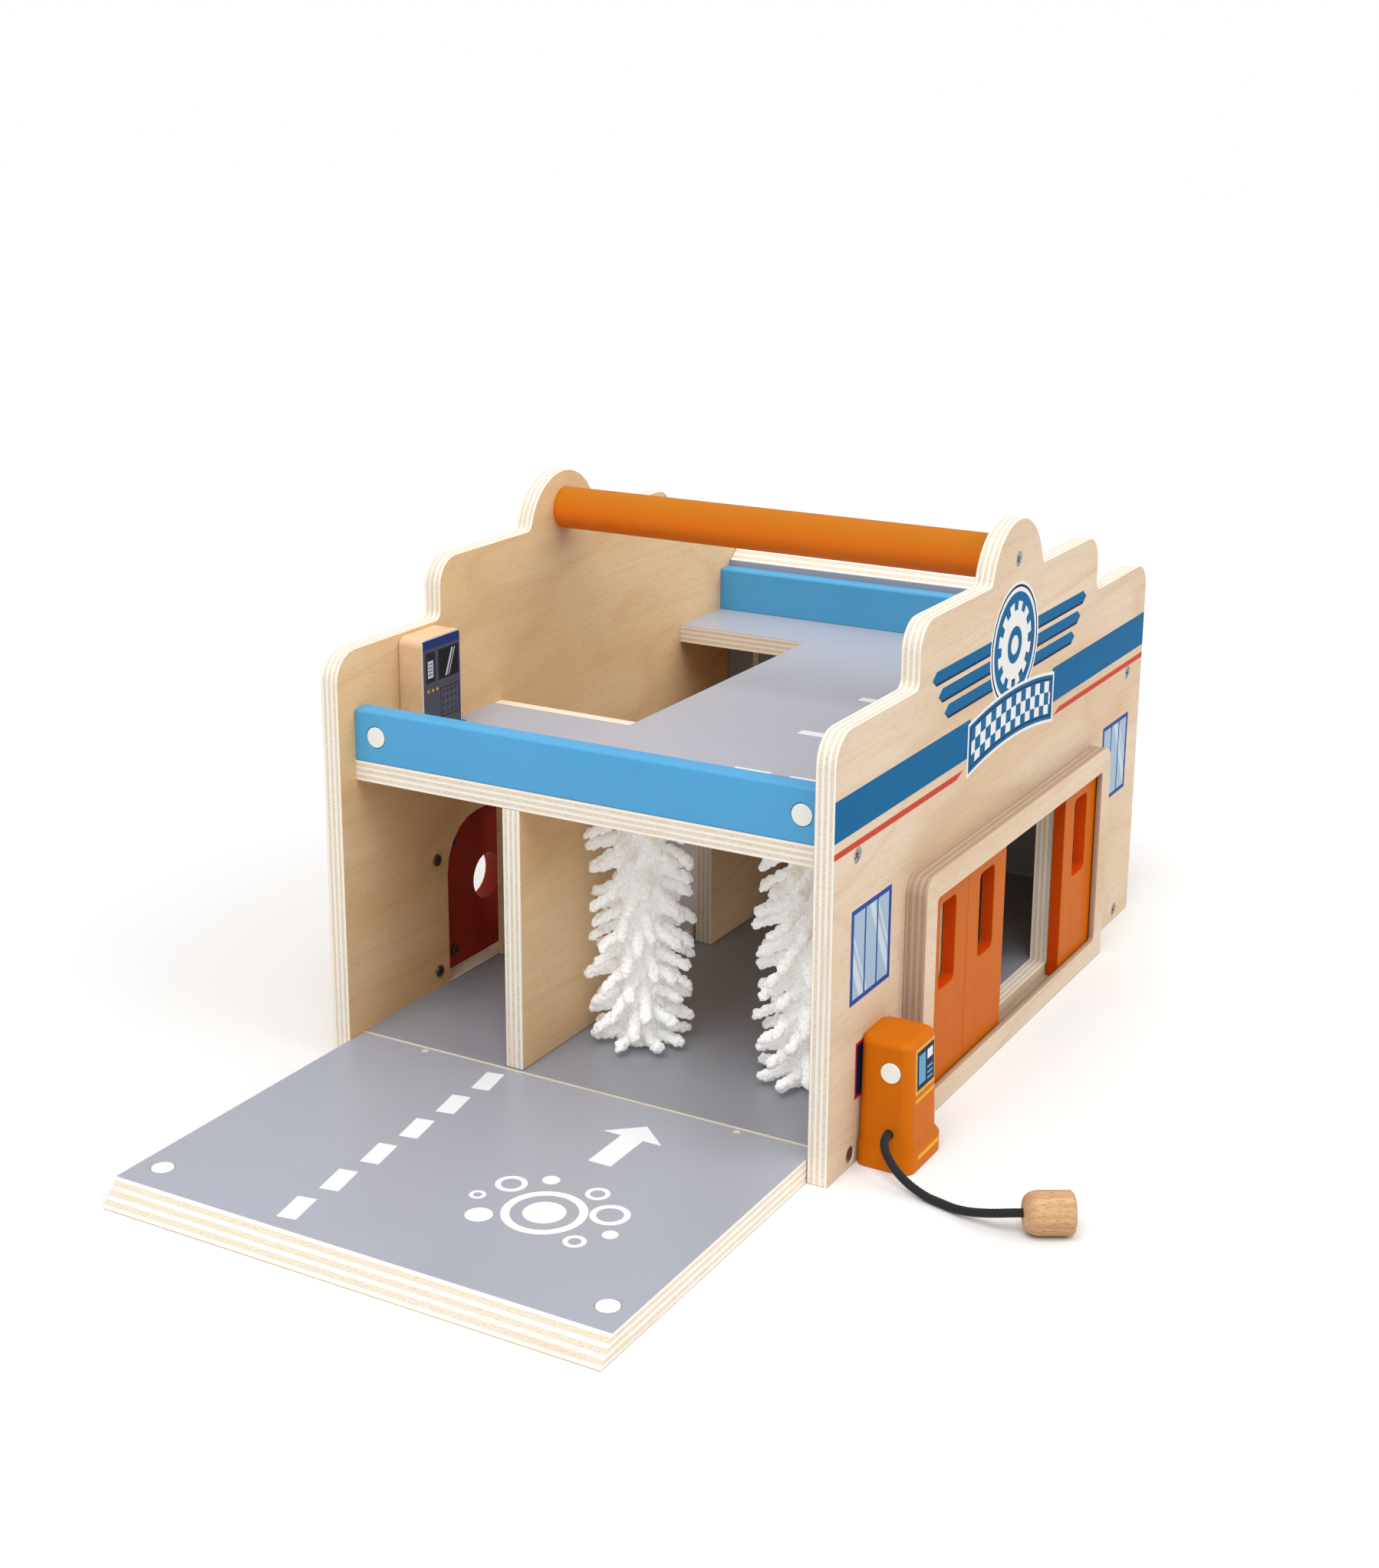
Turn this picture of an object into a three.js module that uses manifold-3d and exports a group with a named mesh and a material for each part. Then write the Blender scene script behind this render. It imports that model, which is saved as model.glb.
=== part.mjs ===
// Wooden toy parking garage: two printed side panels carry a floor and an upper deck with a
// lift well, a folding ramp at each end, a side door on each side, two spinning wash brushes
// and a fuel pump with its cord. Millimetres, +Z up. The origin is the middle of the floor's
// underside, X runs to the right seen from the front and Y from the front to the rear.

import * as THREE from "three";
import { mergeVertices } from "three/addons/utils/BufferGeometryUtils.js";
import Module from "manifold-3d";

// Clearances and cuts
const fit = 0.3;
const overrun = 3;

// Side panels, seen from the side: a low shoulder at each end, a high shoulder, a round crest
const inner_half_width = 116;
const panel_thickness = 9;
const half_depth = 184.2;
const crest_top = 244.5;
const parapet_height = 50;
const shoulder_rise = 28.1;
const crest_rise = 25.6;
const shoulder_step = 106.5;
const shoulder_radius = 13;
const step_fillet = 4;
const crest_radius = 30.4;

// Floor and upper deck boards
const floor_thickness = 10.8;
const deck_thickness = 9.4;

// Lift well, cut in the deck along the left panel
const well_front = -65.2;
const well_rear = 117.3;

// Partition between the two lanes, a front and a rear board with a passage between them
const partition_left = -38.5;
const partition_thickness = 9;
const partition_ledge = 0.8;
const passage_length = 56.7;

// Folding ramps, hinged on steel pins in the side panels
const ramp_hinge_inset = 8;
const ramp_hinge_drop = 2.6;
const ramp_over_rail = 2.9;
const ramp_toe = 8.2;
const ramp_side_gap = 0.4;
const ramp_fold_gap = 0.6;
const ramp_seam = 1;
const ramp_tail_radius = 1.5;
const ramp_pin_radius = 1.3;
const ramp_pin_in_panel = 5.5;
const ramp_pin_in_ramp = 14;
const ramp_peg_side_inset = 36.5;
const ramp_peg_inset = 6.8;
const ramp_peg_radius = 1.9;
const ramp_peg_depth = 2.5;

// Rails on the deck's ends, with round magnets that hold the folded ramps
const rail_thickness = 10;
const rail_height = 23.5;
const rail_edge_radius = 1.6;
const magnet_radius = 4.7;
const magnet_depth = 3;
const magnet_side_inset = 11.3;

// Countersunk screws
const screw_head_radius = 3.6;
const screw_head_height = 2.6;
const screw_shank_radius = 1.7;
const screw_length = 28;
const screw_sink = 0.4;
const screw_inset = 21.5;

// Carrying handle, a dowel between the crests
const handle_radius = 10.3;
const handle_drop = 18.3;

// Wide door on the right side: a routed frame and three doors in one groove
const frame_end_inset = 70;
const frame_thickness = 10;
const frame_corner_radius = 8;
const frame_border = 11.5;
const frame_sill_drop = 0.5;
const frame_lip = 3;
const frame_edge_radius = 2;
const groove_end_lap = 2;
const groove_floor = 4.7;
const groove_top_lap = 4;
const gate_top = 100;
const gate_radius = 4;
const shutter_width = 43.8;
const shutter_thickness = 6;
const shutter_lap = 3;
const shutter_slot_width = 17.3;
const shutter_slot_height = 40;
const shutter_slot_drop = 10.8;
const shutter_slot_radius = 3;

// Arched opening on the left side and its hinged door
const arch_front = -105.9;
const arch_rear = -13.7;
const arch_top = 90.8;
const arch_radius = 25;
const door_thickness = 9;
const door_front_lap = 1.8;
const door_lap = 4.4;
const door_ground_gap = 2;
const finger_hole_radius = 11.7;
const finger_hole_back = 47.9;
const finger_hole_height = 49;

// Wooden hinges of the arched door: a forked block on the panel, a tongued strap on the door
const hinge_low = 19.2;
const upper_hinge_drop = 15.3;
const hinge_tall = 14;
const knuckle_radius = 5.7;
const knuckle_offset = 0.5;
const hinge_block_length = 14.2;
const hinge_strap_start = 6.3;
const hinge_strap_length = 23.5;
const tongue_tall = 5;
const hinge_pin_radius = 1.3;
const hinge_pin_skin = 2;

// Lift: a platform on two headed pins that run in the stepped slots of an upright portal
const portal_thickness = 6;
const portal_post = 12;
const platform_thickness = 9;
const platform_gap = 0.5;
const lift_pin_rise = 3.4;
const lift_pin_radius = 1.3;
const lift_pin_grip = 12;
const lift_head_radius = 2.8;
const lift_head_thickness = 2.4;
const platform_hole_radius = 11.5;

// Wash brushes: a spindle between floor and deck inside a sleeve of soft fingers
const brush_setback = 54.8;
const brush_partition_gap = 1;
const brush_panel_gap = 5.5;
const spindle_radius = 4;
const spindle_seat = 5;
const sleeve_radius = 11;
const sleeve_end_gap = 1.6;
const finger_length = 16;
const finger_size = 2.1;
const finger_root = 1.2;
const finger_rows = 17;
const finger_columns = 9;
const finger_rise = 2.6;
const finger_droop = 1.5;
const finger_sway = 1.6;
const finger_tip_share = 0.62;
const finger_phase_shares = [1.9, 2.6];

// Payment terminal on the deck
const terminal_setback = 23.1;
const terminal_length = 30.4;
const terminal_thickness = 13;
const terminal_height = 44.5;
const terminal_radius = 4;
const terminal_base_height = 4.2;
const terminal_base_margin = 1.3;

// Fuel pump against the right panel
const pump_setback = 41.5;
const pump_length = 29.5;
const pump_thickness = 24;
const pump_height = 56;
const pump_corner_radius = 4.5;
const pump_taper = 1;
const pump_top_radius = 3.2;
const pump_foot_flare = 1.6;
const pump_foot_height = 8.5;
const pump_foot_slope = 3;
const pump_disc_offset = 14.5;
const pump_disc_height = 42.9;
const pump_disc_radius = 4.4;
const pump_disc_proud = 0.5;

// Cord and its plug. The route is chosen by hand, from the pump to the plug
const cord_radius = 1.8;
const cord_start_height = 16;
const cord_start_offset = 14.7;
const cord_seat = 5;
const cord_seat_gap = 0.4;
const cord_steps = 46;
const cord_route = [
  [140.4, -163, 15.2],
  [142.1, -165.9, 13.4],
  [144.6, -167.9, 11.1],
  [147.4, -169.3, 8.9],
  [150.5, -170.4, 6.8],
  [153.8, -171.4, 5.1],
  [157.3, -172.3, 3.7],
  [161, -173.2, 2.7],
  [164.7, -174.2, 2.1],
  [168.5, -175.2, 2],
  [172.2, -176.1, 2],
  [176, -177, 2],
  [179.8, -178, 2.4],
  [183.5, -178.9, 3.1],
  [187.1, -179.9, 4.1],
  [190.7, -180.7, 5.2],
  [194.4, -181.4, 6.4],
  [198.1, -181.6, 7.5],
  [201.8, -181.2, 8.4],
];
const plug_start = [207, -178.9];
const plug_radius = 8.8;
const plug_length = 20;
const plug_nose_radius = 4.6;
const plug_nose_length = 6.5;
const plug_edge = 1.2;
const plug_turn_degrees = 30.2;

// Facets and the angle of a square corner
const round_sides = 24;
const screw_sides = 14;
const pin_sides = 12;
const arc_steps = 5;
const crest_steps = 14;
const fillet_steps = 3;
const pump_corner_steps = 4;
const cord_sides = 8;
const quarter_turn = 90;

// Places worked out from the sizes
const outer_face = inner_half_width + panel_thickness;
const high_shoulder = crest_top - crest_rise;
const low_shoulder = high_shoulder - shoulder_rise;
const deck_top = low_shoulder - parapet_height;
const deck_underside = deck_top - deck_thickness;
const handle_height = crest_top - handle_drop;
const ramp_hinge_y = half_depth - ramp_hinge_inset;
const ramp_hinge_height = floor_thickness - ramp_hinge_drop;
const ramp_reach = deck_top + rail_height + ramp_over_rail - ramp_hinge_height;
const ramp_peg_offset = inner_half_width - ramp_peg_side_inset;
const board_end = ramp_hinge_y - (floor_thickness - ramp_hinge_height) - ramp_fold_gap;
const ramp_tail = ramp_hinge_y - board_end - ramp_seam;
const rail_magnet_height = deck_top + rail_height / 2;
const magnet_offset = inner_half_width - magnet_side_inset;
const well_right = partition_left - partition_ledge;
const portal_front = well_front + fit;
const portal_rear = portal_front + portal_thickness;
const passage_rear = portal_rear + passage_length;
const platform_bottom = floor_thickness + fit;
const lift_pin_height = platform_bottom + lift_pin_rise;
const door_inner_face = -outer_face - fit;
const door_outer_face = door_inner_face - door_thickness;
const door_front = arch_front - door_front_lap;
const knuckle_x = door_outer_face - fit - knuckle_radius;
const knuckle_y = door_front + knuckle_offset;
const hinge_high = arch_top - upper_hinge_drop;
const frame_half_length = half_depth - frame_end_inset;
const frame_height = gate_top + frame_border;
const frame_sill = floor_thickness - frame_sill_drop;
const groove_half_length = frame_half_length - frame_border + groove_end_lap;
const groove_top = gate_top + groove_top_lap;
const gate_half_length = (3 * shutter_width) / 2 - shutter_lap;
const brush_reach = sleeve_radius + finger_length;
const brush_depth = brush_setback - board_end;
const brush_left = partition_left + partition_thickness + brush_partition_gap + brush_reach;
const brush_right = inner_half_width - brush_panel_gap - brush_reach;
const terminal_front = terminal_setback + rail_thickness - board_end;
const pump_centre = pump_setback - half_depth;

const wasm = await Module();
wasm.setup();

// Closed geometry to a solid, and back again
function toSolid(geometry) {
  const plain = geometry.clone();
  plain.deleteAttribute("normal");
  plain.deleteAttribute("uv");
  const merged = mergeVertices(plain);
  return new wasm.Manifold(
    new wasm.Mesh({
      numProp: 3,
      vertProperties: new Float32Array(merged.attributes.position.array),
      triVerts: new Uint32Array(merged.index.array),
    }),
  );
}

function toGeometry(solid) {
  const { vertProperties, triVerts } = solid.getMesh();
  const geometry = new THREE.BufferGeometry();
  geometry.setAttribute("position", new THREE.BufferAttribute(vertProperties, 3));
  geometry.setIndex(new THREE.BufferAttribute(triVerts, 1));
  geometry.computeVertexNormals();
  return geometry;
}

const cut = (solid, ...tools) => tools.reduce((rest, tool) => rest.subtract(tool), solid);
const join = (solid, ...others) => others.reduce((sum, other) => sum.add(other), solid);

// Points of an arc, angles in degrees
function arc(centre_x, centre_y, radius, from, to, steps = arc_steps) {
  const points = [];
  for (let step = 0; step <= steps; step += 1) {
    const angle = THREE.MathUtils.degToRad(from + ((to - from) * step) / steps);
    points.push(
      new THREE.Vector2(centre_x + radius * Math.cos(angle), centre_y + radius * Math.sin(angle)),
    );
  }
  return points;
}

// Upright rectangle with its own radius on the lower and the upper corners
function windowOutline(left, right, bottom, top, low_radius, high_radius) {
  const corner = (x, y, radius, from, side_x, side_y) =>
    radius > 0
      ? arc(x + side_x * radius, y + side_y * radius, radius, from, from + quarter_turn)
      : [new THREE.Vector2(x, y)];
  return [
    ...corner(left, bottom, low_radius, 180, 1, 1),
    ...corner(right, bottom, low_radius, 270, -1, 1),
    ...corner(right, top, high_radius, 0, -1, -1),
    ...corner(left, top, high_radius, 90, 1, -1),
  ];
}

// Outline to a solid: drawn in Y and Z and run along X, in X and Z along Y, in X and Y along Z
function extrude(outline, depth, holes = []) {
  const shape = new THREE.Shape(outline);
  holes.forEach((hole) => shape.holes.push(new THREE.Path(hole)));
  return new THREE.ExtrudeGeometry(shape, { depth, bevelEnabled: false });
}

const along_x = new THREE.Matrix4().set(0, 0, 1, 0, 1, 0, 0, 0, 0, 1, 0, 0, 0, 0, 0, 1);
const along_y = new THREE.Matrix4().set(1, 0, 0, 0, 0, 0, -1, 0, 0, 1, 0, 0, 0, 0, 0, 1);

function extrudeX(outline, from, to, holes) {
  return toSolid(extrude(outline, to - from, holes).applyMatrix4(along_x).translate(from, 0, 0));
}

function extrudeY(outline, from, to, holes) {
  return toSolid(extrude(outline, to - from, holes).applyMatrix4(along_y).translate(0, to, 0));
}

function extrudeZ(outline, from, to, holes) {
  return toSolid(extrude(outline, to - from, holes).translate(0, 0, from));
}

function box(x0, x1, y0, y1, z0, z1) {
  const block = new THREE.BoxGeometry(x1 - x0, y1 - y0, z1 - z0);
  return toSolid(block.translate((x0 + x1) / 2, (y0 + y1) / 2, (z0 + z1) / 2));
}

// Round bars along each axis, given by their two ends
function barX(radius, x0, x1, y, z, sides = round_sides) {
  const bar = new THREE.CylinderGeometry(radius, radius, x1 - x0, sides);
  return toSolid(bar.rotateZ(-Math.PI / 2).translate((x0 + x1) / 2, y, z));
}

function barY(radius, x, y0, y1, z, sides = round_sides) {
  const bar = new THREE.CylinderGeometry(radius, radius, y1 - y0, sides);
  return toSolid(bar.translate(x, (y0 + y1) / 2, z));
}

function barZ(radius, x, y, z0, z1, sides = round_sides) {
  const bar = new THREE.CylinderGeometry(radius, radius, z1 - z0, sides);
  return toSolid(bar.rotateX(Math.PI / 2).translate(x, y, (z0 + z1) / 2));
}

// Skin over rings of equal point counts, closed by a fan at each end
function loft(rings) {
  const count = rings[0].length;
  const positions = rings.flat().flatMap((point) => [point.x, point.y, point.z]);
  const faces = [];
  for (let ring = 0; ring + 1 < rings.length; ring += 1) {
    for (let side = 0; side < count; side += 1) {
      const next = (side + 1) % count;
      const a = ring * count + side;
      const b = ring * count + next;
      faces.push(a, b, b + count, a, b + count, a + count);
    }
  }
  const last = (rings.length - 1) * count;
  for (let side = 1; side + 1 < count; side += 1) {
    faces.push(0, side + 1, side, last, last + side, last + side + 1);
  }
  const geometry = new THREE.BufferGeometry();
  geometry.setAttribute("position", new THREE.Float32BufferAttribute(positions, 3));
  geometry.setIndex(faces);
  return geometry;
}

// Wood screw with its head at a panel's outer face and its shank running inwards along X.
// Grown by the fit and lengthened past the face it is the tool that cuts the screw's hole
function screw(side, y, z, grow = 0) {
  const profile = [
    new THREE.Vector2(0, -screw_length - grow),
    new THREE.Vector2(screw_shank_radius + grow, -screw_length - grow),
    new THREE.Vector2(screw_shank_radius + grow, -screw_head_height),
    new THREE.Vector2(screw_head_radius + grow, 0),
  ];
  if (grow > 0) profile.push(new THREE.Vector2(screw_head_radius + grow, overrun));
  profile.push(new THREE.Vector2(0, grow > 0 ? overrun : 0));
  const turned = new THREE.LatheGeometry(profile, screw_sides).rotateZ((-side * Math.PI) / 2);
  return toSolid(turned.translate(side * (outer_face - screw_sink), y, z));
}

const panel_screws = [
  ["floor_front", -(half_depth - screw_inset), floor_thickness / 2],
  ["floor_rear", half_depth - screw_inset, floor_thickness / 2],
  ["deck_front", -(half_depth - screw_inset), deck_top - deck_thickness / 2],
  ["deck_rear", half_depth - screw_inset, deck_top - deck_thickness / 2],
];
const screwHoles = (side) => panel_screws.map(([, y, z]) => screw(side, y, z, fit));
const handleScrewHole = (side) => screw(side, 0, handle_height, fit);

// Side panel outline in Y and Z. The fillet at the crest's foot is tangent to the high
// shoulder and to the crest's circle
function panelOutline() {
  const crest_centre = crest_top - crest_radius;
  const foot_height = high_shoulder + step_fillet;
  const foot_reach = Math.sqrt((crest_radius + step_fillet) ** 2 - (foot_height - crest_centre) ** 2);
  const foot_angle = THREE.MathUtils.radToDeg(Math.atan2(foot_height - crest_centre, foot_reach));
  const half = [
    new THREE.Vector2(half_depth, 0),
    ...arc(half_depth - shoulder_radius, low_shoulder - shoulder_radius, shoulder_radius, 0, 90),
    ...arc(shoulder_step + step_fillet, low_shoulder + step_fillet, step_fillet, 270, 180, fillet_steps),
    ...arc(shoulder_step - shoulder_radius, high_shoulder - shoulder_radius, shoulder_radius, 0, 90),
    ...arc(foot_reach, foot_height, step_fillet, 270, 180 + foot_angle, fillet_steps),
    ...arc(0, crest_centre, crest_radius, foot_angle, 90, crest_steps / 2).slice(1, -1),
  ];
  const mirrored = half.map((point) => new THREE.Vector2(-point.x, point.y)).reverse();
  return [...half, new THREE.Vector2(0, crest_top), ...mirrored];
}

function rampPinBores(side) {
  const inner = side * inner_half_width;
  const bottom = side * (inner_half_width + ramp_pin_in_panel + fit);
  const from = Math.min(inner - side * overrun, bottom);
  const to = Math.max(inner - side * overrun, bottom);
  return [-1, 1].map((end) =>
    barX(ramp_pin_radius + fit, from, to, end * ramp_hinge_y, ramp_hinge_height, pin_sides),
  );
}

function rightPanel() {
  const gate = windowOutline(
    -gate_half_length,
    gate_half_length,
    floor_thickness,
    gate_top,
    0,
    gate_radius,
  );
  const board = extrudeX(panelOutline(), inner_half_width, outer_face, [gate]);
  return cut(board, ...screwHoles(1), handleScrewHole(1), ...rampPinBores(1));
}

function leftPanel() {
  const arch = windowOutline(arch_front, arch_rear, floor_thickness, arch_top, 0, arch_radius);
  const board = extrudeX(panelOutline(), -outer_face, -inner_half_width, [arch]);
  return cut(board, ...screwHoles(-1), handleScrewHole(-1), ...rampPinBores(-1));
}

// Floor with seats for the brush spindles
function lowerFloor() {
  const board = box(-inner_half_width, inner_half_width, -board_end, board_end, 0, floor_thickness);
  const seats = [brush_left, brush_right].map((x) =>
    barZ(
      spindle_radius + fit,
      x,
      brush_depth,
      floor_thickness - spindle_seat - fit,
      floor_thickness + overrun,
    ),
  );
  return cut(board, ...seats, ...screwHoles(1), ...screwHoles(-1));
}

// Deck with the lift well cut in from the left and spindle seats in its underside
function upperDeck() {
  const outline = [
    [-inner_half_width, -board_end],
    [inner_half_width, -board_end],
    [inner_half_width, board_end],
    [-inner_half_width, board_end],
    [-inner_half_width, well_rear],
    [well_right, well_rear],
    [well_right, well_front],
    [-inner_half_width, well_front],
  ].map(([x, y]) => new THREE.Vector2(x, y));
  const seats = [brush_left, brush_right].map((x) =>
    barZ(
      spindle_radius + fit,
      x,
      brush_depth,
      deck_underside - overrun,
      deck_underside + spindle_seat + fit,
    ),
  );
  const board = extrudeZ(outline, deck_underside, deck_top);
  return cut(board, ...seats, ...screwHoles(1), ...screwHoles(-1));
}

// Magnets sit in blind holes and show as white discs, flush with the face around them
function magnetY(x, face, z, inwards) {
  const bottom = face + inwards * magnet_depth;
  return barY(magnet_radius, x, Math.min(face, bottom), Math.max(face, bottom), z);
}

function magnetSeatY(x, face, z, inwards) {
  const open = face - inwards * overrun;
  const bottom = face + inwards * (magnet_depth + fit);
  return barY(magnet_radius + fit, x, Math.min(open, bottom), Math.max(open, bottom), z);
}

function rail(end) {
  const outer = end * board_end;
  const inner = end * (board_end - rail_thickness);
  const outline = windowOutline(
    Math.min(outer, inner),
    Math.max(outer, inner),
    deck_top,
    deck_top + rail_height,
    0,
    rail_edge_radius,
  );
  const board = extrudeX(outline, -inner_half_width, inner_half_width);
  const seats = [-1, 1].map((side) =>
    magnetSeatY(side * magnet_offset, outer, rail_magnet_height, -end),
  );
  return cut(board, ...seats);
}

function partition(front, rear) {
  const right = partition_left + partition_thickness;
  return box(partition_left, right, front, rear, floor_thickness, deck_underside);
}

function handle() {
  const dowel = barX(handle_radius, -inner_half_width, inner_half_width, 0, handle_height);
  return cut(dowel, handleScrewHole(1), handleScrewHole(-1));
}

// Ramp lying flat and reaching towards -Y, with its hinge axis through the origin. The tail's
// lower edge is rounded on the hinge side so that it clears the table while the ramp turns
function ramp() {
  const top = floor_thickness - ramp_hinge_height;
  const outline = [
    new THREE.Vector2(-ramp_reach - ramp_toe, -ramp_hinge_height),
    ...arc(0, ramp_tail - ramp_hinge_height, ramp_tail, 270, 360),
    ...arc(ramp_tail - ramp_tail_radius, top - ramp_tail_radius, ramp_tail_radius, 0, 90, fillet_steps),
    new THREE.Vector2(-ramp_reach, top),
  ];
  const half_width = inner_half_width - ramp_side_gap;
  const board = extrudeX(outline, -half_width, half_width);
  const bores = [-1, 1].map((side) => {
    const deep = side * (half_width - ramp_pin_in_ramp);
    const open = side * (half_width + overrun);
    return barX(
      ramp_pin_radius + fit,
      Math.min(deep, open),
      Math.max(deep, open),
      0,
      0,
      pin_sides,
    );
  });
  const magnets = [-1, 1].map((side) =>
    barZ(
      magnet_radius + fit,
      side * magnet_offset,
      ramp_hinge_height - rail_magnet_height,
      top - magnet_depth - fit,
      top + overrun,
    ),
  );
  const pegs = [-1, 1].map((side) =>
    barZ(
      ramp_peg_radius,
      side * ramp_peg_offset,
      ramp_peg_inset - ramp_hinge_inset,
      top - ramp_peg_depth,
      top + overrun,
      pin_sides,
    ),
  );
  return cut(board, ...bores, ...magnets, ...pegs);
}

function rampMagnet(side) {
  const top = floor_thickness - ramp_hinge_height;
  const reach = ramp_hinge_height - rail_magnet_height;
  return barZ(magnet_radius, side * magnet_offset, reach, top - magnet_depth, top);
}

function rampPin(side, end) {
  const in_panel = side * (inner_half_width + ramp_pin_in_panel);
  const in_ramp = side * (inner_half_width - ramp_side_gap - ramp_pin_in_ramp + fit);
  const from = Math.min(in_panel, in_ramp);
  const to = Math.max(in_panel, in_ramp);
  return barX(ramp_pin_radius, from, to, end * ramp_hinge_y, ramp_hinge_height, pin_sides);
}

// Frame of the wide door: one board with its opening, and a groove routed behind the lip
function doorFrame() {
  const outline = windowOutline(
    -frame_half_length,
    frame_half_length,
    0,
    frame_height,
    0,
    frame_corner_radius,
  );
  const reach = frame_half_length - frame_border;
  const opening = windowOutline(
    -reach,
    reach,
    frame_sill,
    frame_height - frame_border,
    frame_edge_radius,
    frame_edge_radius,
  );
  const board = extrudeX(outline, outer_face, outer_face + frame_thickness, [opening]);
  const groove = box(
    outer_face - overrun,
    outer_face + frame_thickness - frame_lip,
    -groove_half_length,
    groove_half_length,
    groove_floor,
    groove_top,
  );
  return cut(board, groove);
}

// One door of the three, with its pull slot
function shutter(front) {
  const bottom = groove_floor + fit;
  const top = groove_top - fit;
  const middle = front + shutter_width / 2;
  const slot = windowOutline(
    middle - shutter_slot_width / 2,
    middle + shutter_slot_width / 2,
    top - shutter_slot_drop - shutter_slot_height,
    top - shutter_slot_drop,
    shutter_slot_radius,
    shutter_slot_radius,
  );
  const outline = windowOutline(front, front + shutter_width, bottom, top, 0, 0);
  const groove_depth = frame_thickness - frame_lip;
  const inner = outer_face + (groove_depth - shutter_thickness) / 2;
  return extrudeX(outline, inner, inner + shutter_thickness, [slot]);
}

const shutter_fronts = {
  front: -groove_half_length + fit,
  middle: -groove_half_length + fit + shutter_width + fit,
  rear: groove_half_length - fit - shutter_width,
};

// Arched door that closes the left opening from outside
function sideDoor() {
  const outline = windowOutline(
    door_front,
    arch_rear + door_lap,
    door_ground_gap,
    arch_top + door_lap,
    0,
    arch_radius + door_lap,
  );
  const finger_y = door_front + finger_hole_back;
  const hole = arc(finger_y, finger_hole_height, finger_hole_radius, 0, 360, round_sides);
  return extrudeX(outline, door_outer_face, door_inner_face, [hole.slice(1)]);
}

// Forked block of one hinge, with the tongue's space cut out and a blind bore for the pin
function hingeBlock(height) {
  const low = height - hinge_tall / 2;
  const high = height + hinge_tall / 2;
  const outer = knuckle_x - knuckle_radius;
  const rear = door_front - fit;
  const body = box(outer, -outer_face, rear - hinge_block_length, rear, low, high);
  const knuckle = barZ(knuckle_radius, knuckle_x, knuckle_y, low, high);
  const space = box(
    outer - overrun,
    knuckle_x + knuckle_radius + fit,
    knuckle_y - knuckle_radius - fit,
    knuckle_y + knuckle_radius + overrun,
    height - tongue_tall / 2,
    height + tongue_tall / 2,
  );
  const bore = barZ(
    hinge_pin_radius + fit,
    knuckle_x,
    knuckle_y,
    low + hinge_pin_skin - fit,
    high + overrun,
    pin_sides,
  );
  return cut(join(body, knuckle), space, bore);
}

// Strap on the door's outer face, with a round tongue that turns in the fork
function hingeStrap(height) {
  const low = height - hinge_tall / 2;
  const high = height + hinge_tall / 2;
  const outer = knuckle_x - knuckle_radius;
  const start = knuckle_y + hinge_strap_start;
  const body = box(outer, door_outer_face, start, start + hinge_strap_length, low, high);
  const tongue_low = height - tongue_tall / 2 + fit;
  const tongue_high = height + tongue_tall / 2 - fit;
  const tongue = box(
    outer,
    knuckle_x + knuckle_radius,
    knuckle_y,
    start + overrun,
    tongue_low,
    tongue_high,
  );
  const knuckle = barZ(knuckle_radius, knuckle_x, knuckle_y, tongue_low, tongue_high);
  const bore = barZ(
    hinge_pin_radius + fit,
    knuckle_x,
    knuckle_y,
    low,
    high,
    pin_sides,
  );
  return cut(join(body, tongue, knuckle), bore);
}

function hingePin(height) {
  const low = height - hinge_tall / 2 + hinge_pin_skin;
  const high = height + hinge_tall / 2;
  return barZ(hinge_pin_radius, knuckle_x, knuckle_y, low, high, pin_sides);
}

// Portal at the well's front edge: two posts and a bar, each post with a stepped slot that is
// wide in front for the pin's head and narrow behind for its shank
const portal_left = -inner_half_width + fit;
const portal_right = well_right - fit;
const slot_places = [portal_left + portal_post / 2, portal_right - portal_post / 2];
const lift_travel = deck_top - platform_bottom - platform_thickness;

function liftPortal() {
  const board = extrudeY(
    windowOutline(portal_left, portal_right, floor_thickness, deck_top, 0, 0),
    portal_front,
    portal_rear,
  );
  const gateway = box(
    portal_left + portal_post,
    portal_right - portal_post,
    portal_front - overrun,
    portal_rear + overrun,
    floor_thickness - overrun,
    deck_underside,
  );
  const slots = slot_places.flatMap((x) => {
    const step = portal_front + fit + lift_head_thickness + fit;
    const head = lift_head_radius + fit;
    const shank = lift_pin_radius + fit;
    const top = lift_pin_height + lift_travel;
    const low = floor_thickness - overrun;
    return [
      box(x - head, x + head, portal_front - overrun, step, low, top + head),
      box(x - shank, x + shank, portal_front - overrun, portal_rear + overrun, low, top + shank),
    ];
  });
  return cut(board, gateway, ...slots);
}

const platform_front = portal_rear + platform_gap;
const platform_rear = well_rear - platform_gap;

function liftPlatform() {
  const left = -inner_half_width + platform_gap;
  const right = well_right - platform_gap;
  const board = box(
    left,
    right,
    platform_front,
    platform_rear,
    platform_bottom,
    platform_bottom + platform_thickness,
  );
  const finger = barZ(
    platform_hole_radius,
    (left + right) / 2,
    (platform_front + platform_rear) / 2,
    platform_bottom - overrun,
    platform_bottom + platform_thickness + overrun,
  );
  const bores = slot_places.map((x) =>
    barY(
      lift_pin_radius + fit,
      x,
      platform_front - overrun,
      platform_front + lift_pin_grip + fit,
      lift_pin_height,
      pin_sides,
    ),
  );
  return cut(board, finger, ...bores);
}

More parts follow.
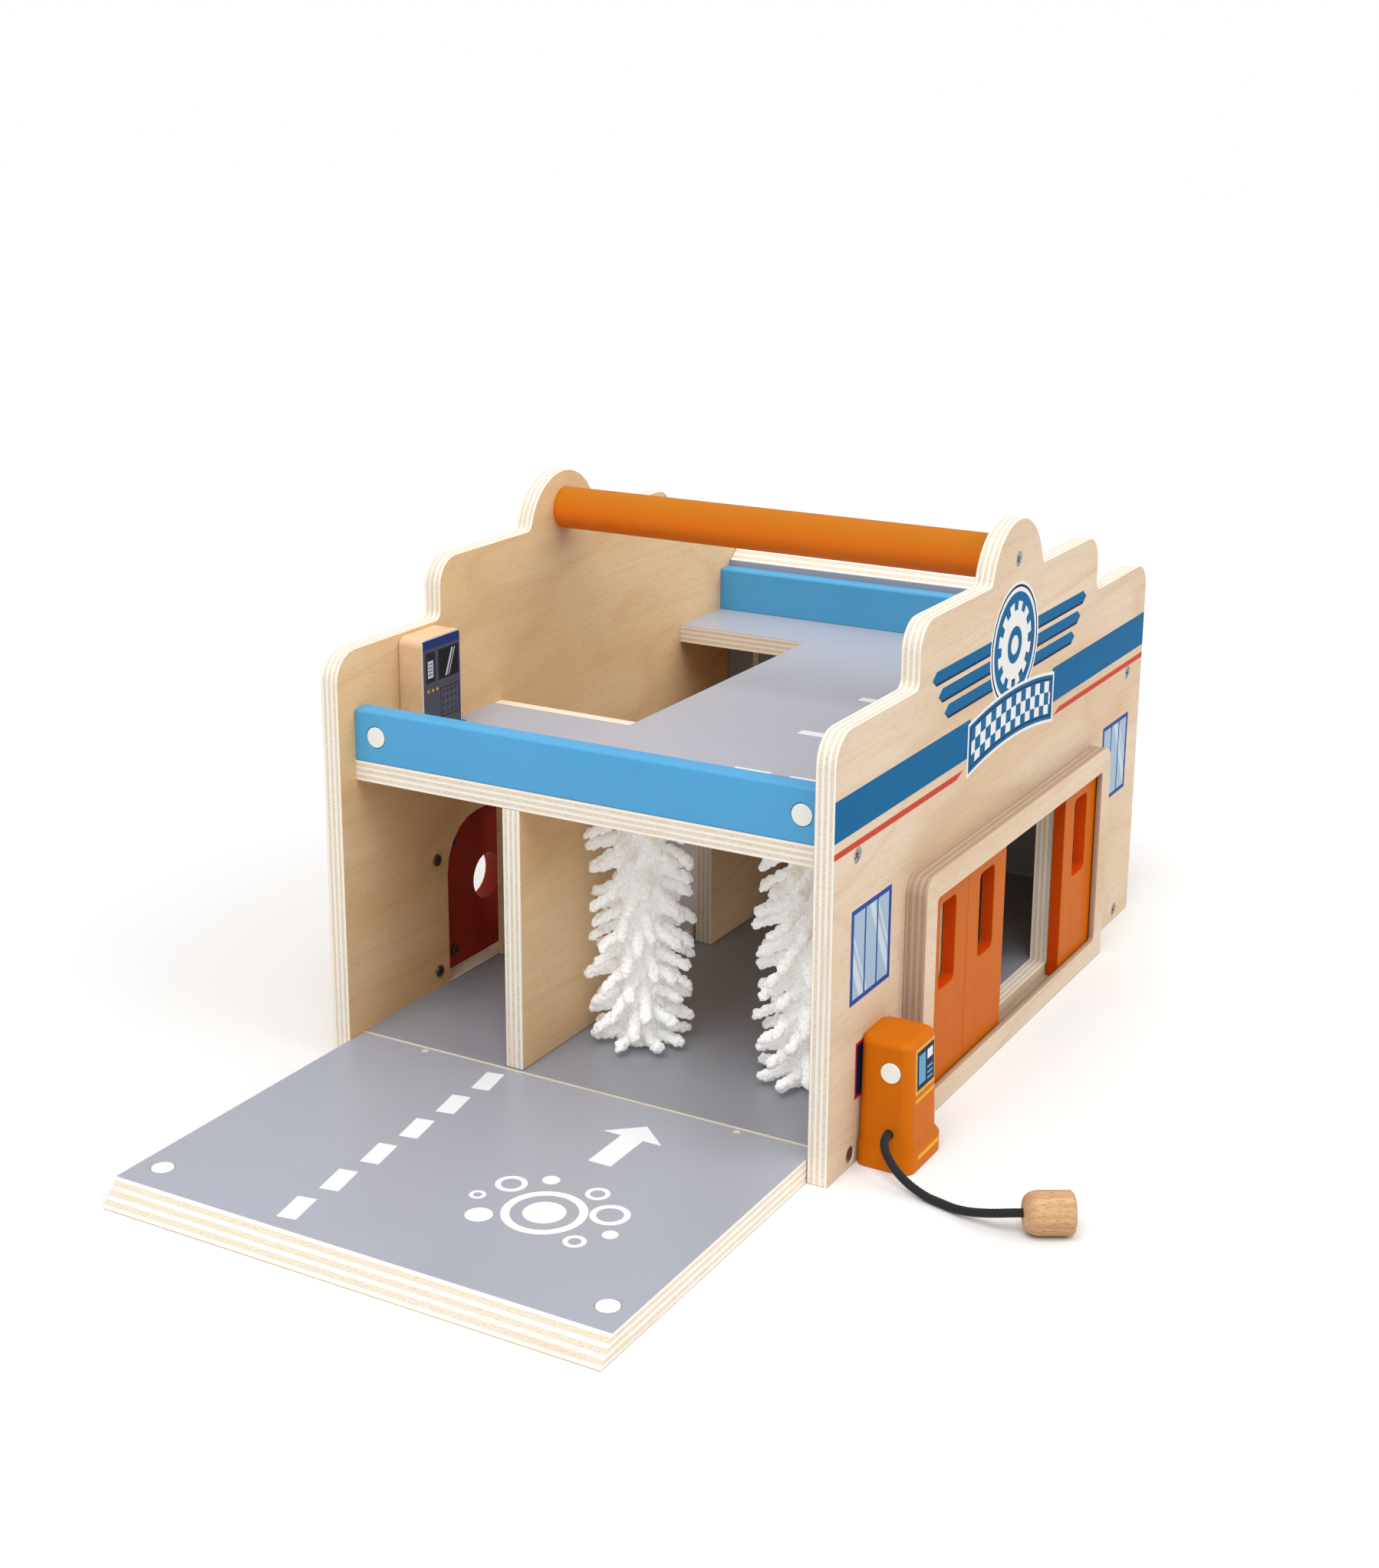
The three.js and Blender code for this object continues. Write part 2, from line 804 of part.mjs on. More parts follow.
function liftPin(x) {
  const head_front = portal_front + fit;
  const head_rear = head_front + lift_head_thickness;
  const head = barY(lift_head_radius, x, head_front, head_rear, lift_pin_height, pin_sides);
  const end = platform_front + lift_pin_grip;
  const shank = barY(lift_pin_radius, x, head_front, end, lift_pin_height, pin_sides);
  return join(head, shank);
}

function spindle(x) {
  const low = floor_thickness - spindle_seat;
  return barZ(spindle_radius, x, brush_depth, low, deck_underside + spindle_seat);
}

// Soft finger from inside the sleeve outwards, three-sided and bent a little by its place in
// the pattern, so that neighbours in a row and in a column stay apart
function finger(row, column) {
  const low = floor_thickness + sleeve_end_gap + finger_size + finger_rise + finger_droop;
  const high = deck_underside - sleeve_end_gap - finger_size - finger_rise;
  const height = low + ((high - low) * row) / (finger_rows - 1);
  const turn = (2 * Math.PI * (column + (row % 2) / 2)) / finger_columns;
  const [row_share, column_share] = finger_phase_shares;
  const rise = finger_rise * Math.sin(row_share * row + column_share * column) - finger_droop;
  const sway = finger_sway * Math.sin(column_share * row + row_share * column);
  const stations = [
    [sleeve_radius - finger_root, 0, finger_size],
    [sleeve_radius + finger_length / 2, 1 / 3, finger_size],
    [sleeve_radius + finger_length, 1, finger_size * finger_tip_share],
  ];
  const outwards = new THREE.Vector3(Math.cos(turn), Math.sin(turn), 0);
  const across = new THREE.Vector3(-Math.sin(turn), Math.cos(turn), 0);
  const rings = stations.map(([reach, bend, size]) =>
    [0, 1, 2].map((corner) => {
      const angle = Math.PI / 2 + (2 * Math.PI * corner) / 3;
      return new THREE.Vector3(0, 0, height + rise * bend + size * Math.sin(angle))
        .addScaledVector(outwards, reach)
        .addScaledVector(across, sway * bend + size * Math.cos(angle));
    }),
  );
  return toSolid(loft(rings));
}

// Sleeve with all its fingers, about its own axis
function brushSleeve() {
  const low = floor_thickness + sleeve_end_gap;
  const high = deck_underside - sleeve_end_gap;
  const sides = 2 * finger_columns;
  const tube = new THREE.CylinderGeometry(sleeve_radius, sleeve_radius, high - low, sides);
  tube.rotateY(Math.PI / 2 + Math.PI / sides);
  let sleeve = toSolid(tube.rotateX(Math.PI / 2).translate(0, 0, (low + high) / 2));
  for (let row = 0; row < finger_rows; row += 1) {
    for (let column = 0; column < finger_columns; column += 1) {
      sleeve = sleeve.add(finger(row, column));
    }
  }
  const bore = barZ(spindle_radius + fit, 0, 0, low - overrun, high + overrun, pin_sides);
  return sleeve.subtract(bore);
}

const terminal_base_top = deck_top + terminal_base_height;

function paymentTerminal() {
  const outline = windowOutline(
    terminal_front,
    terminal_front + terminal_length,
    terminal_base_top,
    terminal_base_top + terminal_height,
    0,
    terminal_radius,
  );
  return extrudeX(outline, -inner_half_width, -inner_half_width + terminal_thickness);
}

function terminalBase() {
  return box(
    -inner_half_width,
    -inner_half_width + terminal_thickness + terminal_base_margin,
    terminal_front - terminal_base_margin,
    terminal_front + terminal_length + terminal_base_margin,
    deck_top,
    terminal_base_top,
  );
}

// Pump housing: rounded rectangles from the flared foot up the slight taper to a rounded top.
// Its back stays flat on the panel
function pumpRing(height, grow) {
  const radius = pump_corner_radius;
  const front = pump_thickness + grow - radius;
  const side = pump_length / 2 + grow - radius;
  const outline = [
    ...arc(front, side, radius, 0, 90, pump_corner_steps),
    ...arc(radius, side, radius, 90, 180, pump_corner_steps),
    ...arc(radius, -side, radius, 180, 270, pump_corner_steps),
    ...arc(front, -side, radius, 270, 360, pump_corner_steps),
  ];
  return outline.map(
    (point) => new THREE.Vector3(outer_face + point.x, pump_centre + point.y, height),
  );
}

const pump_face = pump_centre - pump_length / 2;
const pump_disc_face = pump_face + (pump_taper * pump_disc_height) / pump_height - pump_disc_proud;

function pumpBody() {
  const rounding = arc(0, pump_height - pump_top_radius, pump_top_radius, 0, 90, pump_corner_steps);
  const rings = [
    pumpRing(0, pump_foot_flare),
    pumpRing(pump_foot_height, pump_foot_flare),
    pumpRing(pump_foot_height + pump_foot_slope, 0),
    ...rounding.map((point) => pumpRing(point.y, point.x - pump_top_radius - pump_taper)),
  ];
  const disc_seat = barY(
    pump_disc_radius + fit,
    outer_face + pump_disc_offset,
    pump_face - overrun,
    pump_disc_face + magnet_depth + fit,
    pump_disc_height,
  );
  const cord_hole = barY(
    cord_radius + cord_seat_gap,
    outer_face + cord_start_offset,
    pump_face - overrun,
    pump_face + cord_seat + fit,
    cord_start_height,
    pin_sides,
  );
  return cut(toSolid(loft(rings)), disc_seat, cord_hole);
}

function pumpDisc() {
  return barY(
    pump_disc_radius,
    outer_face + pump_disc_offset,
    pump_disc_face,
    pump_disc_face + magnet_depth,
    pump_disc_height,
  );
}

// Plug: a turned bead with a domed nose, a seat for the cord and a flat far end
const plug_direction = new THREE.Vector3(
  Math.cos(THREE.MathUtils.degToRad(plug_turn_degrees)),
  Math.sin(THREE.MathUtils.degToRad(plug_turn_degrees)),
  0,
);

function plugProfile() {
  const dome = arc(0, 0, 1, 270, 360).map(
    (point) =>
      new THREE.Vector2(
        plug_nose_radius + (plug_radius - plug_nose_radius) * point.x,
        plug_nose_length * (1 + point.y),
      ),
  );
  return [
    new THREE.Vector2(0, cord_seat + fit),
    new THREE.Vector2(cord_radius + cord_seat_gap, cord_seat + fit),
    new THREE.Vector2(cord_radius + cord_seat_gap, 0),
    ...dome,
    new THREE.Vector2(plug_radius, plug_length - plug_edge),
    new THREE.Vector2(plug_radius - plug_edge, plug_length),
    new THREE.Vector2(0, plug_length),
  ];
}

// Cord along its route, run straight out of the pump and straight into the plug
function cord() {
  const hole_x = outer_face + cord_start_offset;
  const plug_seat = new THREE.Vector3(plug_start[0], plug_start[1], plug_radius);
  const points = [
    new THREE.Vector3(hole_x, pump_face + cord_seat, cord_start_height),
    new THREE.Vector3(hole_x, pump_face - cord_radius, cord_start_height),
    ...cord_route.map(([x, y, z]) => new THREE.Vector3(x, y, z)),
    plug_seat.clone().addScaledVector(plug_direction, -cord_radius),
    plug_seat.clone().addScaledVector(plug_direction, cord_seat),
  ];
  const route = new THREE.CatmullRomCurve3(points, false, "centripetal");
  const section = new THREE.Shape(arc(0, 0, cord_radius, 0, 360, cord_sides).slice(1));
  return new THREE.ExtrudeGeometry(section, {
    steps: cord_steps,
    bevelEnabled: false,
    extrudePath: route,
  });
}

// Finishes
const finish = (color, roughness, metalness = 0) =>
  new THREE.MeshStandardMaterial({ color, roughness, metalness });
const birch = finish("#decaa8", 0.55);
const grey_paint = finish("#b9b9c3", 0.5);
const light_blue_paint = finish("#4f96c4", 0.45);
const orange_paint = finish("#d7701f", 0.45);
const red_paint = finish("#c0391f", 0.45);
const beech = finish("#c9985f", 0.5);
const white_cap = finish("#efece4", 0.5);
const dark_print = finish("#3b3d48", 0.5);
const steel = finish("#b4b2ac", 0.35, 0.9);
const soft_white = finish("#f1eee6", 0.95);
const black_cord = finish("#1c1c22", 0.85);

const garage = new THREE.Group();

function place(parent, name, shape, material) {
  const geometry = shape.isBufferGeometry ? shape : toGeometry(shape);
  const mesh = new THREE.Mesh(geometry, material);
  mesh.name = name;
  parent.add(mesh);
  return mesh;
}

// Fixed shell
place(garage, "side_panel_left", leftPanel(), birch);
place(garage, "side_panel_right", rightPanel(), birch);
place(garage, "lower_floor", lowerFloor(), grey_paint);
place(garage, "deck", upperDeck(), grey_paint);
place(garage, "front_rail", rail(-1), light_blue_paint);
place(garage, "rear_rail", rail(1), light_blue_paint);
place(garage, "partition_front", partition(-board_end, portal_rear), birch);
place(garage, "partition_rear", partition(passage_rear, board_end), birch);
place(garage, "carry_handle", handle(), orange_paint);

for (const [side, side_name] of [
  [-1, "left"],
  [1, "right"],
]) {
  for (const [place_name, y, z] of panel_screws) {
    place(garage, `screw_${place_name}_${side_name}`, screw(side, y, z), steel);
  }
  place(garage, `handle_screw_${side_name}`, screw(side, 0, handle_height), steel);
  for (const [end, end_name] of [
    [-1, "front"],
    [1, "rear"],
  ]) {
    const face = end * board_end;
    const magnet = magnetY(side * magnet_offset, face, rail_magnet_height, -end);
    place(garage, `${end_name}_rail_magnet_${side_name}`, magnet, white_cap);
    place(garage, `${end_name}_ramp_pin_${side_name}`, rampPin(side, end), steel);
  }
}

// Ramps: the front one lies down, the rear one stands folded up
for (const [end_name, turn, fold] of [
  ["front", 0, 0],
  ["rear", Math.PI, -Math.PI / 2],
]) {
  const hinge = new THREE.Group();
  hinge.position.set(0, (turn > 0 ? 1 : -1) * ramp_hinge_y, ramp_hinge_height);
  hinge.rotation.z = turn;
  const leaf = new THREE.Group();
  leaf.rotation.x = fold;
  place(leaf, `${end_name}_ramp`, ramp(), grey_paint);
  const left = turn > 0 ? 1 : -1;
  place(leaf, `${end_name}_ramp_magnet_left`, rampMagnet(left), white_cap);
  place(leaf, `${end_name}_ramp_magnet_right`, rampMagnet(-left), white_cap);
  hinge.add(leaf);
  garage.add(hinge);
}

// Wide door on the right
place(garage, "door_frame", doorFrame(), birch);
for (const [name, front] of Object.entries(shutter_fronts)) {
  place(garage, `sliding_door_${name}`, shutter(front), orange_paint);
}

// Arched door on the left
place(garage, "side_door", sideDoor(), red_paint);
for (const [name, height] of [
  ["lower", hinge_low],
  ["upper", hinge_high],
]) {
  place(garage, `hinge_block_${name}`, hingeBlock(height), birch);
  place(garage, `hinge_strap_${name}`, hingeStrap(height), birch);
  place(garage, `hinge_pin_${name}`, hingePin(height), steel);
}

// Lift
place(garage, "lift_portal", liftPortal(), birch);
place(garage, "lift_platform", liftPlatform(), grey_paint);
place(garage, "lift_pin_left", liftPin(slot_places[0]), steel);
place(garage, "lift_pin_right", liftPin(slot_places[1]), steel);

// Wash brushes
const sleeve_geometry = toGeometry(brushSleeve());
for (const [name, x] of [
  ["left", brush_left],
  ["right", brush_right],
]) {
  place(garage, `brush_spindle_${name}`, spindle(x), beech);
  place(garage, `brush_sleeve_${name}`, sleeve_geometry, soft_white).position.set(x, brush_depth, 0);
}

// Terminal on the deck, pump, cord and plug
place(garage, "payment_terminal", paymentTerminal(), beech);
place(garage, "terminal_base", terminalBase(), dark_print);
place(garage, "pump_body", pumpBody(), orange_paint);
place(garage, "pump_disc", pumpDisc(), white_cap);
place(garage, "pump_cord", cord(), black_cord);

const plug_body = new THREE.LatheGeometry(plugProfile(), round_sides).rotateZ(-Math.PI / 2);
const plug = place(garage, "cord_plug", toGeometry(toSolid(plug_body)), beech);
plug.position.set(plug_start[0], plug_start[1], plug_radius);
plug.rotation.z = THREE.MathUtils.degToRad(plug_turn_degrees);

export default garage;
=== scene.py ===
from math import atan2, cos, floor, pi, radians, sin, sqrt
from random import Random

import bpy
from mathutils import Matrix, Vector, noise


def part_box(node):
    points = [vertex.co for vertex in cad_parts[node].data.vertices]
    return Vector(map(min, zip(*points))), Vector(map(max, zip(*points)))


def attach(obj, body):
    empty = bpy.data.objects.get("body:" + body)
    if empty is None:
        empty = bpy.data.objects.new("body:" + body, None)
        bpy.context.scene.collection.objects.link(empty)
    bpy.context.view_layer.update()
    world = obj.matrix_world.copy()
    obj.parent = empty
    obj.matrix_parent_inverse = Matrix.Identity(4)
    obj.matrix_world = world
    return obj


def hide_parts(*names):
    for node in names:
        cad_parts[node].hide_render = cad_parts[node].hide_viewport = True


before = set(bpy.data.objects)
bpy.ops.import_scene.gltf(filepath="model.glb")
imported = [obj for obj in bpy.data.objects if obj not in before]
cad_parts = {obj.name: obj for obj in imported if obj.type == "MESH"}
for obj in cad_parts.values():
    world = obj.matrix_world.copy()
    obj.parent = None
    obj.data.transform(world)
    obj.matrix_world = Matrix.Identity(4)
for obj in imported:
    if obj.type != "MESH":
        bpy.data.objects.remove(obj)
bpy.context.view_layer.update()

MM = 0.001

# Camera, table and light
# The toy stands on a white table under soft light, before a backdrop that the camera sees as
# plain white. The lens and the eye's place are the photograph's, whose frame is cut a little high.
view_azimuth, view_elevation, view_roll = radians(29.378), radians(15.475), radians(0.357)
eye = Vector((481.02, -932.45, 437.79)) * MM
lens_mm, sensor_mm, frame_shift, near_clip = 51.77, 36, -0.0597, 0.01

back = Vector((
    sin(view_azimuth) * cos(view_elevation),
    -cos(view_azimuth) * cos(view_elevation),
    sin(view_elevation),
))
level = Vector((cos(view_azimuth), sin(view_azimuth), 0))
upward = back.cross(level)
right = level * cos(view_roll) + upward * sin(view_roll)
above = upward * cos(view_roll) - level * sin(view_roll)

bpy.ops.object.camera_add(location=eye)
camera = bpy.context.object
camera.name = "photo_camera"
camera.data.lens, camera.data.sensor_width, camera.data.shift_y = lens_mm, sensor_mm, frame_shift
camera.data.clip_start = near_clip
camera.matrix_world = Matrix.Translation(eye) @ Matrix((right, above, back)).transposed().to_4x4()
bpy.context.scene.camera = camera
bpy.context.scene.view_settings.view_transform = "Standard"

table_size, table_gap = 14, 0.0002
bpy.ops.mesh.primitive_plane_add(size=table_size, location=(0, 0, -table_gap))
table = bpy.context.object
table.name = "white_table"

light_gain = 0.74


def srgb(red, green, blue, gain=light_gain):
    """A colour as it looks under the studio light, 0 to 255, as the surface's own linear colour."""
    gains = gain if isinstance(gain, tuple) else (gain, gain, gain)
    shares = [value / 255 for value in (red, green, blue)]
    linear = [share / 12.92 if share <= 0.04045 else ((share + 0.055) / 1.055) ** 2.4 for share in shares]
    return (*[value * part for value, part in zip(linear, gains)], 1)


class Tone:
    """A value at each point of a surface. Sums and comparisons on it add Math nodes."""
    def __init__(self, nodes, socket):
        self.nodes, self.socket = nodes, socket

    def math(self, operation, *values):
        return self.nodes.node("ShaderNodeMath", {"operation": operation}, dict(enumerate(values)))

    def __add__(self, other):
        return self.math("ADD", self, other)

    def __mul__(self, other):
        return self.math("MULTIPLY", self, other)

    def __sub__(self, other):
        return self.math("SUBTRACT", self, other)

    def __rsub__(self, other):
        return self.math("SUBTRACT", other, self)

    def __truediv__(self, other):
        return self.math("DIVIDE", self, other)

    def __mod__(self, other):
        return self.math("FLOORED_MODULO", self, other)

    def __lt__(self, other):
        return self.math("LESS_THAN", self, other)

    def __gt__(self, other):
        return self.math("GREATER_THAN", self, other)

    def __and__(self, other):
        return self.math("MINIMUM", self, other)

    def __or__(self, other):
        return self.math("MAXIMUM", self, other)

    def __abs__(self):
        return self.math("ABSOLUTE", self)

    __radd__, __rmul__ = __add__, __mul__


class Nodes:
    """The node tree of a material or of the studio."""
    def __init__(self, tree):
        self.tree = tree

    def feed(self, socket, value):
        """Links a Tone to the socket, or sets a number, colour or vector on it."""
        if isinstance(value, Tone):
            self.tree.links.new(value.socket, socket)
        else:
            socket.default_value = value

    def node(self, kind, settings=None, sockets=None, output=0):
        """Adds a node, its settings first, and gives the Tone of one of its outputs."""
        made = self.tree.nodes.new(kind)
        for key, value in (settings or {}).items():
            setattr(made, key, value)
        for key, value in (sockets or {}).items():
            self.feed(made.inputs[key], value)
        return Tone(self, made.outputs[output])


class Finish(Nodes):
    """One material, with its surface coordinates in millimetres as x, y and z."""
    def __init__(self, name, **sockets):
        self.material = bpy.data.materials.new(name)
        self.material.use_nodes = True
        super().__init__(self.material.node_tree)
        self.shader = self.tree.nodes["Principled BSDF"]
        self.place = self.node("ShaderNodeTexCoord", output="Object")
        axes = [self.node("ShaderNodeSeparateXYZ", sockets={0: self.place}, output=axis) for axis in "XYZ"]
        self.x, self.y, self.z = [axis * (1 / MM) for axis in axes]
        self.set(**sockets)

    def set(self, **sockets):
        """Shader sockets by name, with _ for a space: a number or colour, or a Tone."""
        for name, value in sockets.items():
            self.feed(self.shader.inputs[name.replace("_", " ")], value)
        return self

    def mix(self, amount, under, over):
        return self.node("ShaderNodeMix", {"data_type": "RGBA"}, {0: amount, 6: under, 7: over}, 2)

    def layers(self, under, *prints):
        """Paints prints, each a mask and its colour, one over the other."""
        for mask, colour in prints:
            under = self.mix(mask, under, colour)
        return under

    def print_on(self, face, prints):
        """Lays prints over the finish's own colour, on one face of the piece."""
        self.set(Base_Color=self.layers(self.colour, *[(mask & face, colour) for mask, colour in prints]))

    def waves(self, stretch, place=None):
        """Surface coordinates for a texture with so many waves to the metre along x, y and z."""
        sockets = {0: place or self.place, 1: stretch}
        return self.node("ShaderNodeVectorMath", {"operation": "MULTIPLY"}, sockets)

    def noise(self, stretch, detail=2, roughness=0.5, place=None):
        """Noise from 0 to 1, with its number of waves to the metre along x, y and z."""
        return self.node("ShaderNodeTexNoise", sockets={
            "Vector": self.waves(stretch, place), "Scale": 1, "Detail": detail, "Roughness": roughness})

    def ramp(self, value, low, high):
        """0 below low, 1 above high, and a smooth slope between them."""
        return self.node(
            "ShaderNodeMapRange", {"interpolation_type": "SMOOTHSTEP"},
            {"Value": value, "From Min": low, "From Max": high})

    def bump(self, height, distance, strength=1):
        """Relief of the height's pattern, with its depth in metres."""
        return self.set(Normal=self.node(
            "ShaderNodeBump", sockets={"Strength": strength, "Distance": distance, "Height": height}))


table_finish = Finish("table_white", Base_Color=srgb(228, 228, 228, 1), Roughness=0.8)
table.data.materials.append(table_finish.material)

ceiling_low, ceiling_rise = 0.22, 0.75
world = bpy.data.worlds.new("studio")
bpy.context.scene.world = world
world.use_nodes = True
studio = Nodes(world.node_tree)
seen = studio.node("ShaderNodeLightPath", output="Is Camera Ray")
direction = studio.node("ShaderNodeTexCoord", output="Generated")
height = studio.node("ShaderNodeSeparateXYZ", sockets={0: direction}, output="Z")
backdrop = world.node_tree.nodes["Background"]
studio.feed(backdrop.inputs["Color"], (1, 1, 1, 1))
studio.feed(backdrop.inputs["Strength"], (height * ceiling_rise + ceiling_low) | seen)

for lamp_name, place, spread, strength in (
    ("key_softbox", (0.2, -1, 1.7), 40, 1.9),
    ("side_softbox", (1.6, 0.3, 1.1), 50, 1.15),
):
    bpy.ops.object.light_add(type="SUN", location=place)
    lamp = bpy.context.object
    lamp.name = lamp_name
    lamp.data.angle, lamp.data.energy = radians(spread), strength
    lamp.matrix_world = Matrix.Translation(place) @ Vector(place).to_track_quat("Z", "Y").to_matrix().to_4x4()

# Fuel cord and its plug
# A limp braided cord, 3.6 mm thick, is glued in a hole in the pump's side. It hangs down to the
# table, runs along it and ends in a turned beech plug with a domed nose.
cord_radius, cord_step, cord_sides = 1.8, 0.32, 36
pump_side, cord_seat = -157.45, 5
cord_hole_x, cord_hole_z = 139.7, 16
cord_places = [
    (140.4, -163, 15.2), (142.1, -165.9, 13.4), (144.6, -167.9, 11.1), (147.4, -169.3, 8.9),
    (150.5, -170.4, 6.8), (153.8, -171.4, 5.1), (157.3, -172.3, 3.7), (161, -173.2, 2.7),
    (164.7, -174.2, 2.1), (168.5, -175.2, 2), (172.2, -176.1, 2), (176, -177, 2),
    (179.8, -178, 2.4), (183.5, -178.9, 3.1), (187.1, -179.9, 4.1), (190.7, -180.7, 5.2),
    (194.4, -181.4, 6.4), (198.1, -181.6, 7.5), (201.8, -181.2, 8.4),
]
plug_mouth, plug_turn = Vector((207, -178.9, 8.8)), radians(30.2)
plug_way = Vector((cos(plug_turn), sin(plug_turn), 0))
stations = [
    Vector((cord_hole_x, pump_side + cord_seat, cord_hole_z)),
    Vector((cord_hole_x, pump_side - cord_radius, cord_hole_z)),
    *[Vector(place) for place in cord_places],
    plug_mouth - plug_way * cord_radius,
    plug_mouth + plug_way * cord_seat,
]


def ready(*made):
    """Selects only these objects, and makes the first the active one."""
    bpy.ops.object.select_all(action="DESELECT")
    for one in made:
        one.select_set(True)
    bpy.context.view_layer.objects.active = made[0]


def smooth_line(points, step):
    """A centripetal curve through the points, as a list of places about one step apart."""
    ends = [points[0] * 2 - points[1]] + points + [points[-1] * 2 - points[-2]]
    line = []
    for before, start, stop, after in zip(ends, ends[1:], ends[2:], ends[3:]):
        knots = [0.0]
        for one, two in ((before, start), (start, stop), (stop, after)):
            knots.append(knots[-1] + sqrt((two - one).length))
        pieces = max(2, round((stop - start).length / step))
        for piece in range(pieces):
            at = knots[1] + (knots[2] - knots[1]) * piece / pieces

            def between(one, two, low, high):
                return one * ((high - at) / (high - low)) + two * ((at - low) / (high - low))

            a = between(before, start, knots[0], knots[1])
            b = between(start, stop, knots[1], knots[2])
            c = between(stop, after, knots[2], knots[3])
            early, late = between(a, b, knots[0], knots[2]), between(b, c, knots[1], knots[3])
            line.append(between(early, late, knots[1], knots[2]))
    return line + [points[-1]]


def tube(name, line, radius_at, sides):
    """A closed mesh tube along the line, in millimetres, with its own radius at each ring and side."""
    verts, travelled, side_way = [], 0, None
    for index, point in enumerate(line):
        ahead = (line[min(index + 1, len(line) - 1)] - line[max(index - 1, 0)]).normalized()
        side_way = ahead.orthogonal() if side_way is None else side_way - ahead * side_way.dot(ahead)
        side_way.normalize()
        other_way = ahead.cross(side_way)
        if index:
            travelled += (point - line[index - 1]).length
        for side in range(sides):
            angle = 2 * pi * side / sides
            outward = side_way * cos(angle) + other_way * sin(angle)
            verts.append((point + outward * radius_at(travelled, side / sides)) * MM)
    faces = []
    for ring in range(0, len(verts) - sides, sides):
        for side in range(sides):
            beside = (side + 1) % sides
            faces.append((ring + side, ring + beside, ring + sides + beside, ring + sides + side))
    faces += [tuple(reversed(range(sides))), tuple(range(len(verts) - sides, len(verts)))]
    mesh = bpy.data.meshes.new(name)
    mesh.from_pydata(verts, [], faces)
    mesh.update()
    made = bpy.data.objects.new(name, mesh)
    bpy.context.collection.objects.link(made)
    return made


strands, braid_relief = 6, 0.16
strand_pitch = 2 * pi * cord_radius / strands


def braid(travelled, turn):
    """The radius of a braid of strands that cross over and under each other."""
    one = strands * turn + travelled / strand_pitch
    two = strands * turn - travelled / strand_pitch
    over = one if (floor(one) + floor(two)) % 2 else two
    crown = 1 - (2 * (over - floor(over)) - 1) ** 2
    return cord_radius - braid_relief + braid_relief * crown


cord_line = smooth_line(stations, cord_step)
fuel_cord = tube("fuel_cord", cord_line, braid, cord_sides)
fibre_black, fibre_grey = srgb(7, 7, 9), srgb(30, 30, 34)
cord_finish = Finish("black_braid", Roughness=0.85, Sheen_Weight=0.04)
fibres = cord_finish.noise((2600, 2600, 2600))
cord_finish.set(Base_Color=cord_finish.mix(fibres, fibre_black, fibre_grey))
cord_finish.bump(fibres, distance=0.0002)
fuel_cord.data.materials.append(cord_finish.material)
ready(fuel_cord)
bpy.ops.object.shade_smooth()


def apply(made, kind, **settings):
    """Finishes a piece with one modifier and applies it."""
    ready(made)
    modifier = made.modifiers.new(kind.lower(), kind)
    for key, value in settings.items():
        setattr(modifier, key, value)
    bpy.ops.object.modifier_apply(modifier=modifier.name)


weld_reach, flat_within, sharp_from, same_way = 0.00001, radians(0.5), radians(40), 0.999


def dressed(node, name, body, finish, edge=0.5, smooth=32, carve=None, glued=None):
    """A CAD node's shape as a new piece, with its sharp edges sanded round by edge, in millimetres.
    It is shaded smooth up to an angle in degrees. Where glued points, a flat face keeps a crisp rim."""
    made = bpy.data.objects.new(name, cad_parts[node].data.copy())
    bpy.context.collection.objects.link(made)
    made.data.materials.clear()
    made.data.materials.append(finish.material)
    ready(made)
    bpy.ops.object.mode_set(mode="EDIT")
    bpy.ops.mesh.select_all(action="SELECT")
    bpy.ops.mesh.remove_doubles(threshold=weld_reach)
    bpy.ops.mesh.dissolve_limited(angle_limit=flat_within)
    bpy.ops.object.mode_set(mode="OBJECT")
    if edge:
        apply(made, "BEVEL", width=edge * MM, segments=3, limit_method="ANGLE", angle_limit=sharp_from)
    if carve:
        apply(made, "BOOLEAN", object=carve, operation="DIFFERENCE", solver="EXACT")
    bpy.ops.object.shade_smooth_by_angle(angle=radians(smooth))
    for face in made.data.polygons:
        if glued and face.normal.dot(Vector(glued)) > same_way:
            for corner in face.loop_indices:
                made.data.edges[made.data.loops[corner].edge_index].use_edge_sharp = True
    apply(made, "WEIGHTED_NORMAL", keep_sharp=True)
    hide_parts(node)
    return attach(made, body)


beech_light, beech_dark, ray_brown = srgb(236, 190, 142), srgb(206, 158, 110), srgb(158, 106, 64)


def beech_wood(name, rotation):
    """Turned beech: bands and short dark rays along the grain, which the rotation lays along x."""
    wood = Finish(name, Roughness=0.5, Specular_IOR_Level=0.3)
    grain = wood.node("ShaderNodeMapping", sockets={"Vector": wood.place, "Rotation": rotation})
    bands = wood.ramp(wood.noise((16, 300, 300), detail=3, place=grain), 0.3, 0.7)
    rays = wood.ramp(wood.noise((330, 2300, 2300), place=grain), 0.54, 0.66)
    wood.set(Base_Color=wood.layers(wood.mix(bands, beech_light, beech_dark), (rays * 0.6, ray_brown)))
    return wood.bump(rays, distance=0.0001, strength=0.4)


beech = beech_wood("plug_beech", (0, 0, -plug_turn))
plug = dressed("cord_plug", "fuel_plug", "garage", beech, edge=0, smooth=50)
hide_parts("pump_cord")
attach(fuel_cord, "garage")
cord_length = sum((b - a).length for a, b in zip(cord_line, cord_line[1:])) * MM
[tuple(p * MM) for p in cord_line]

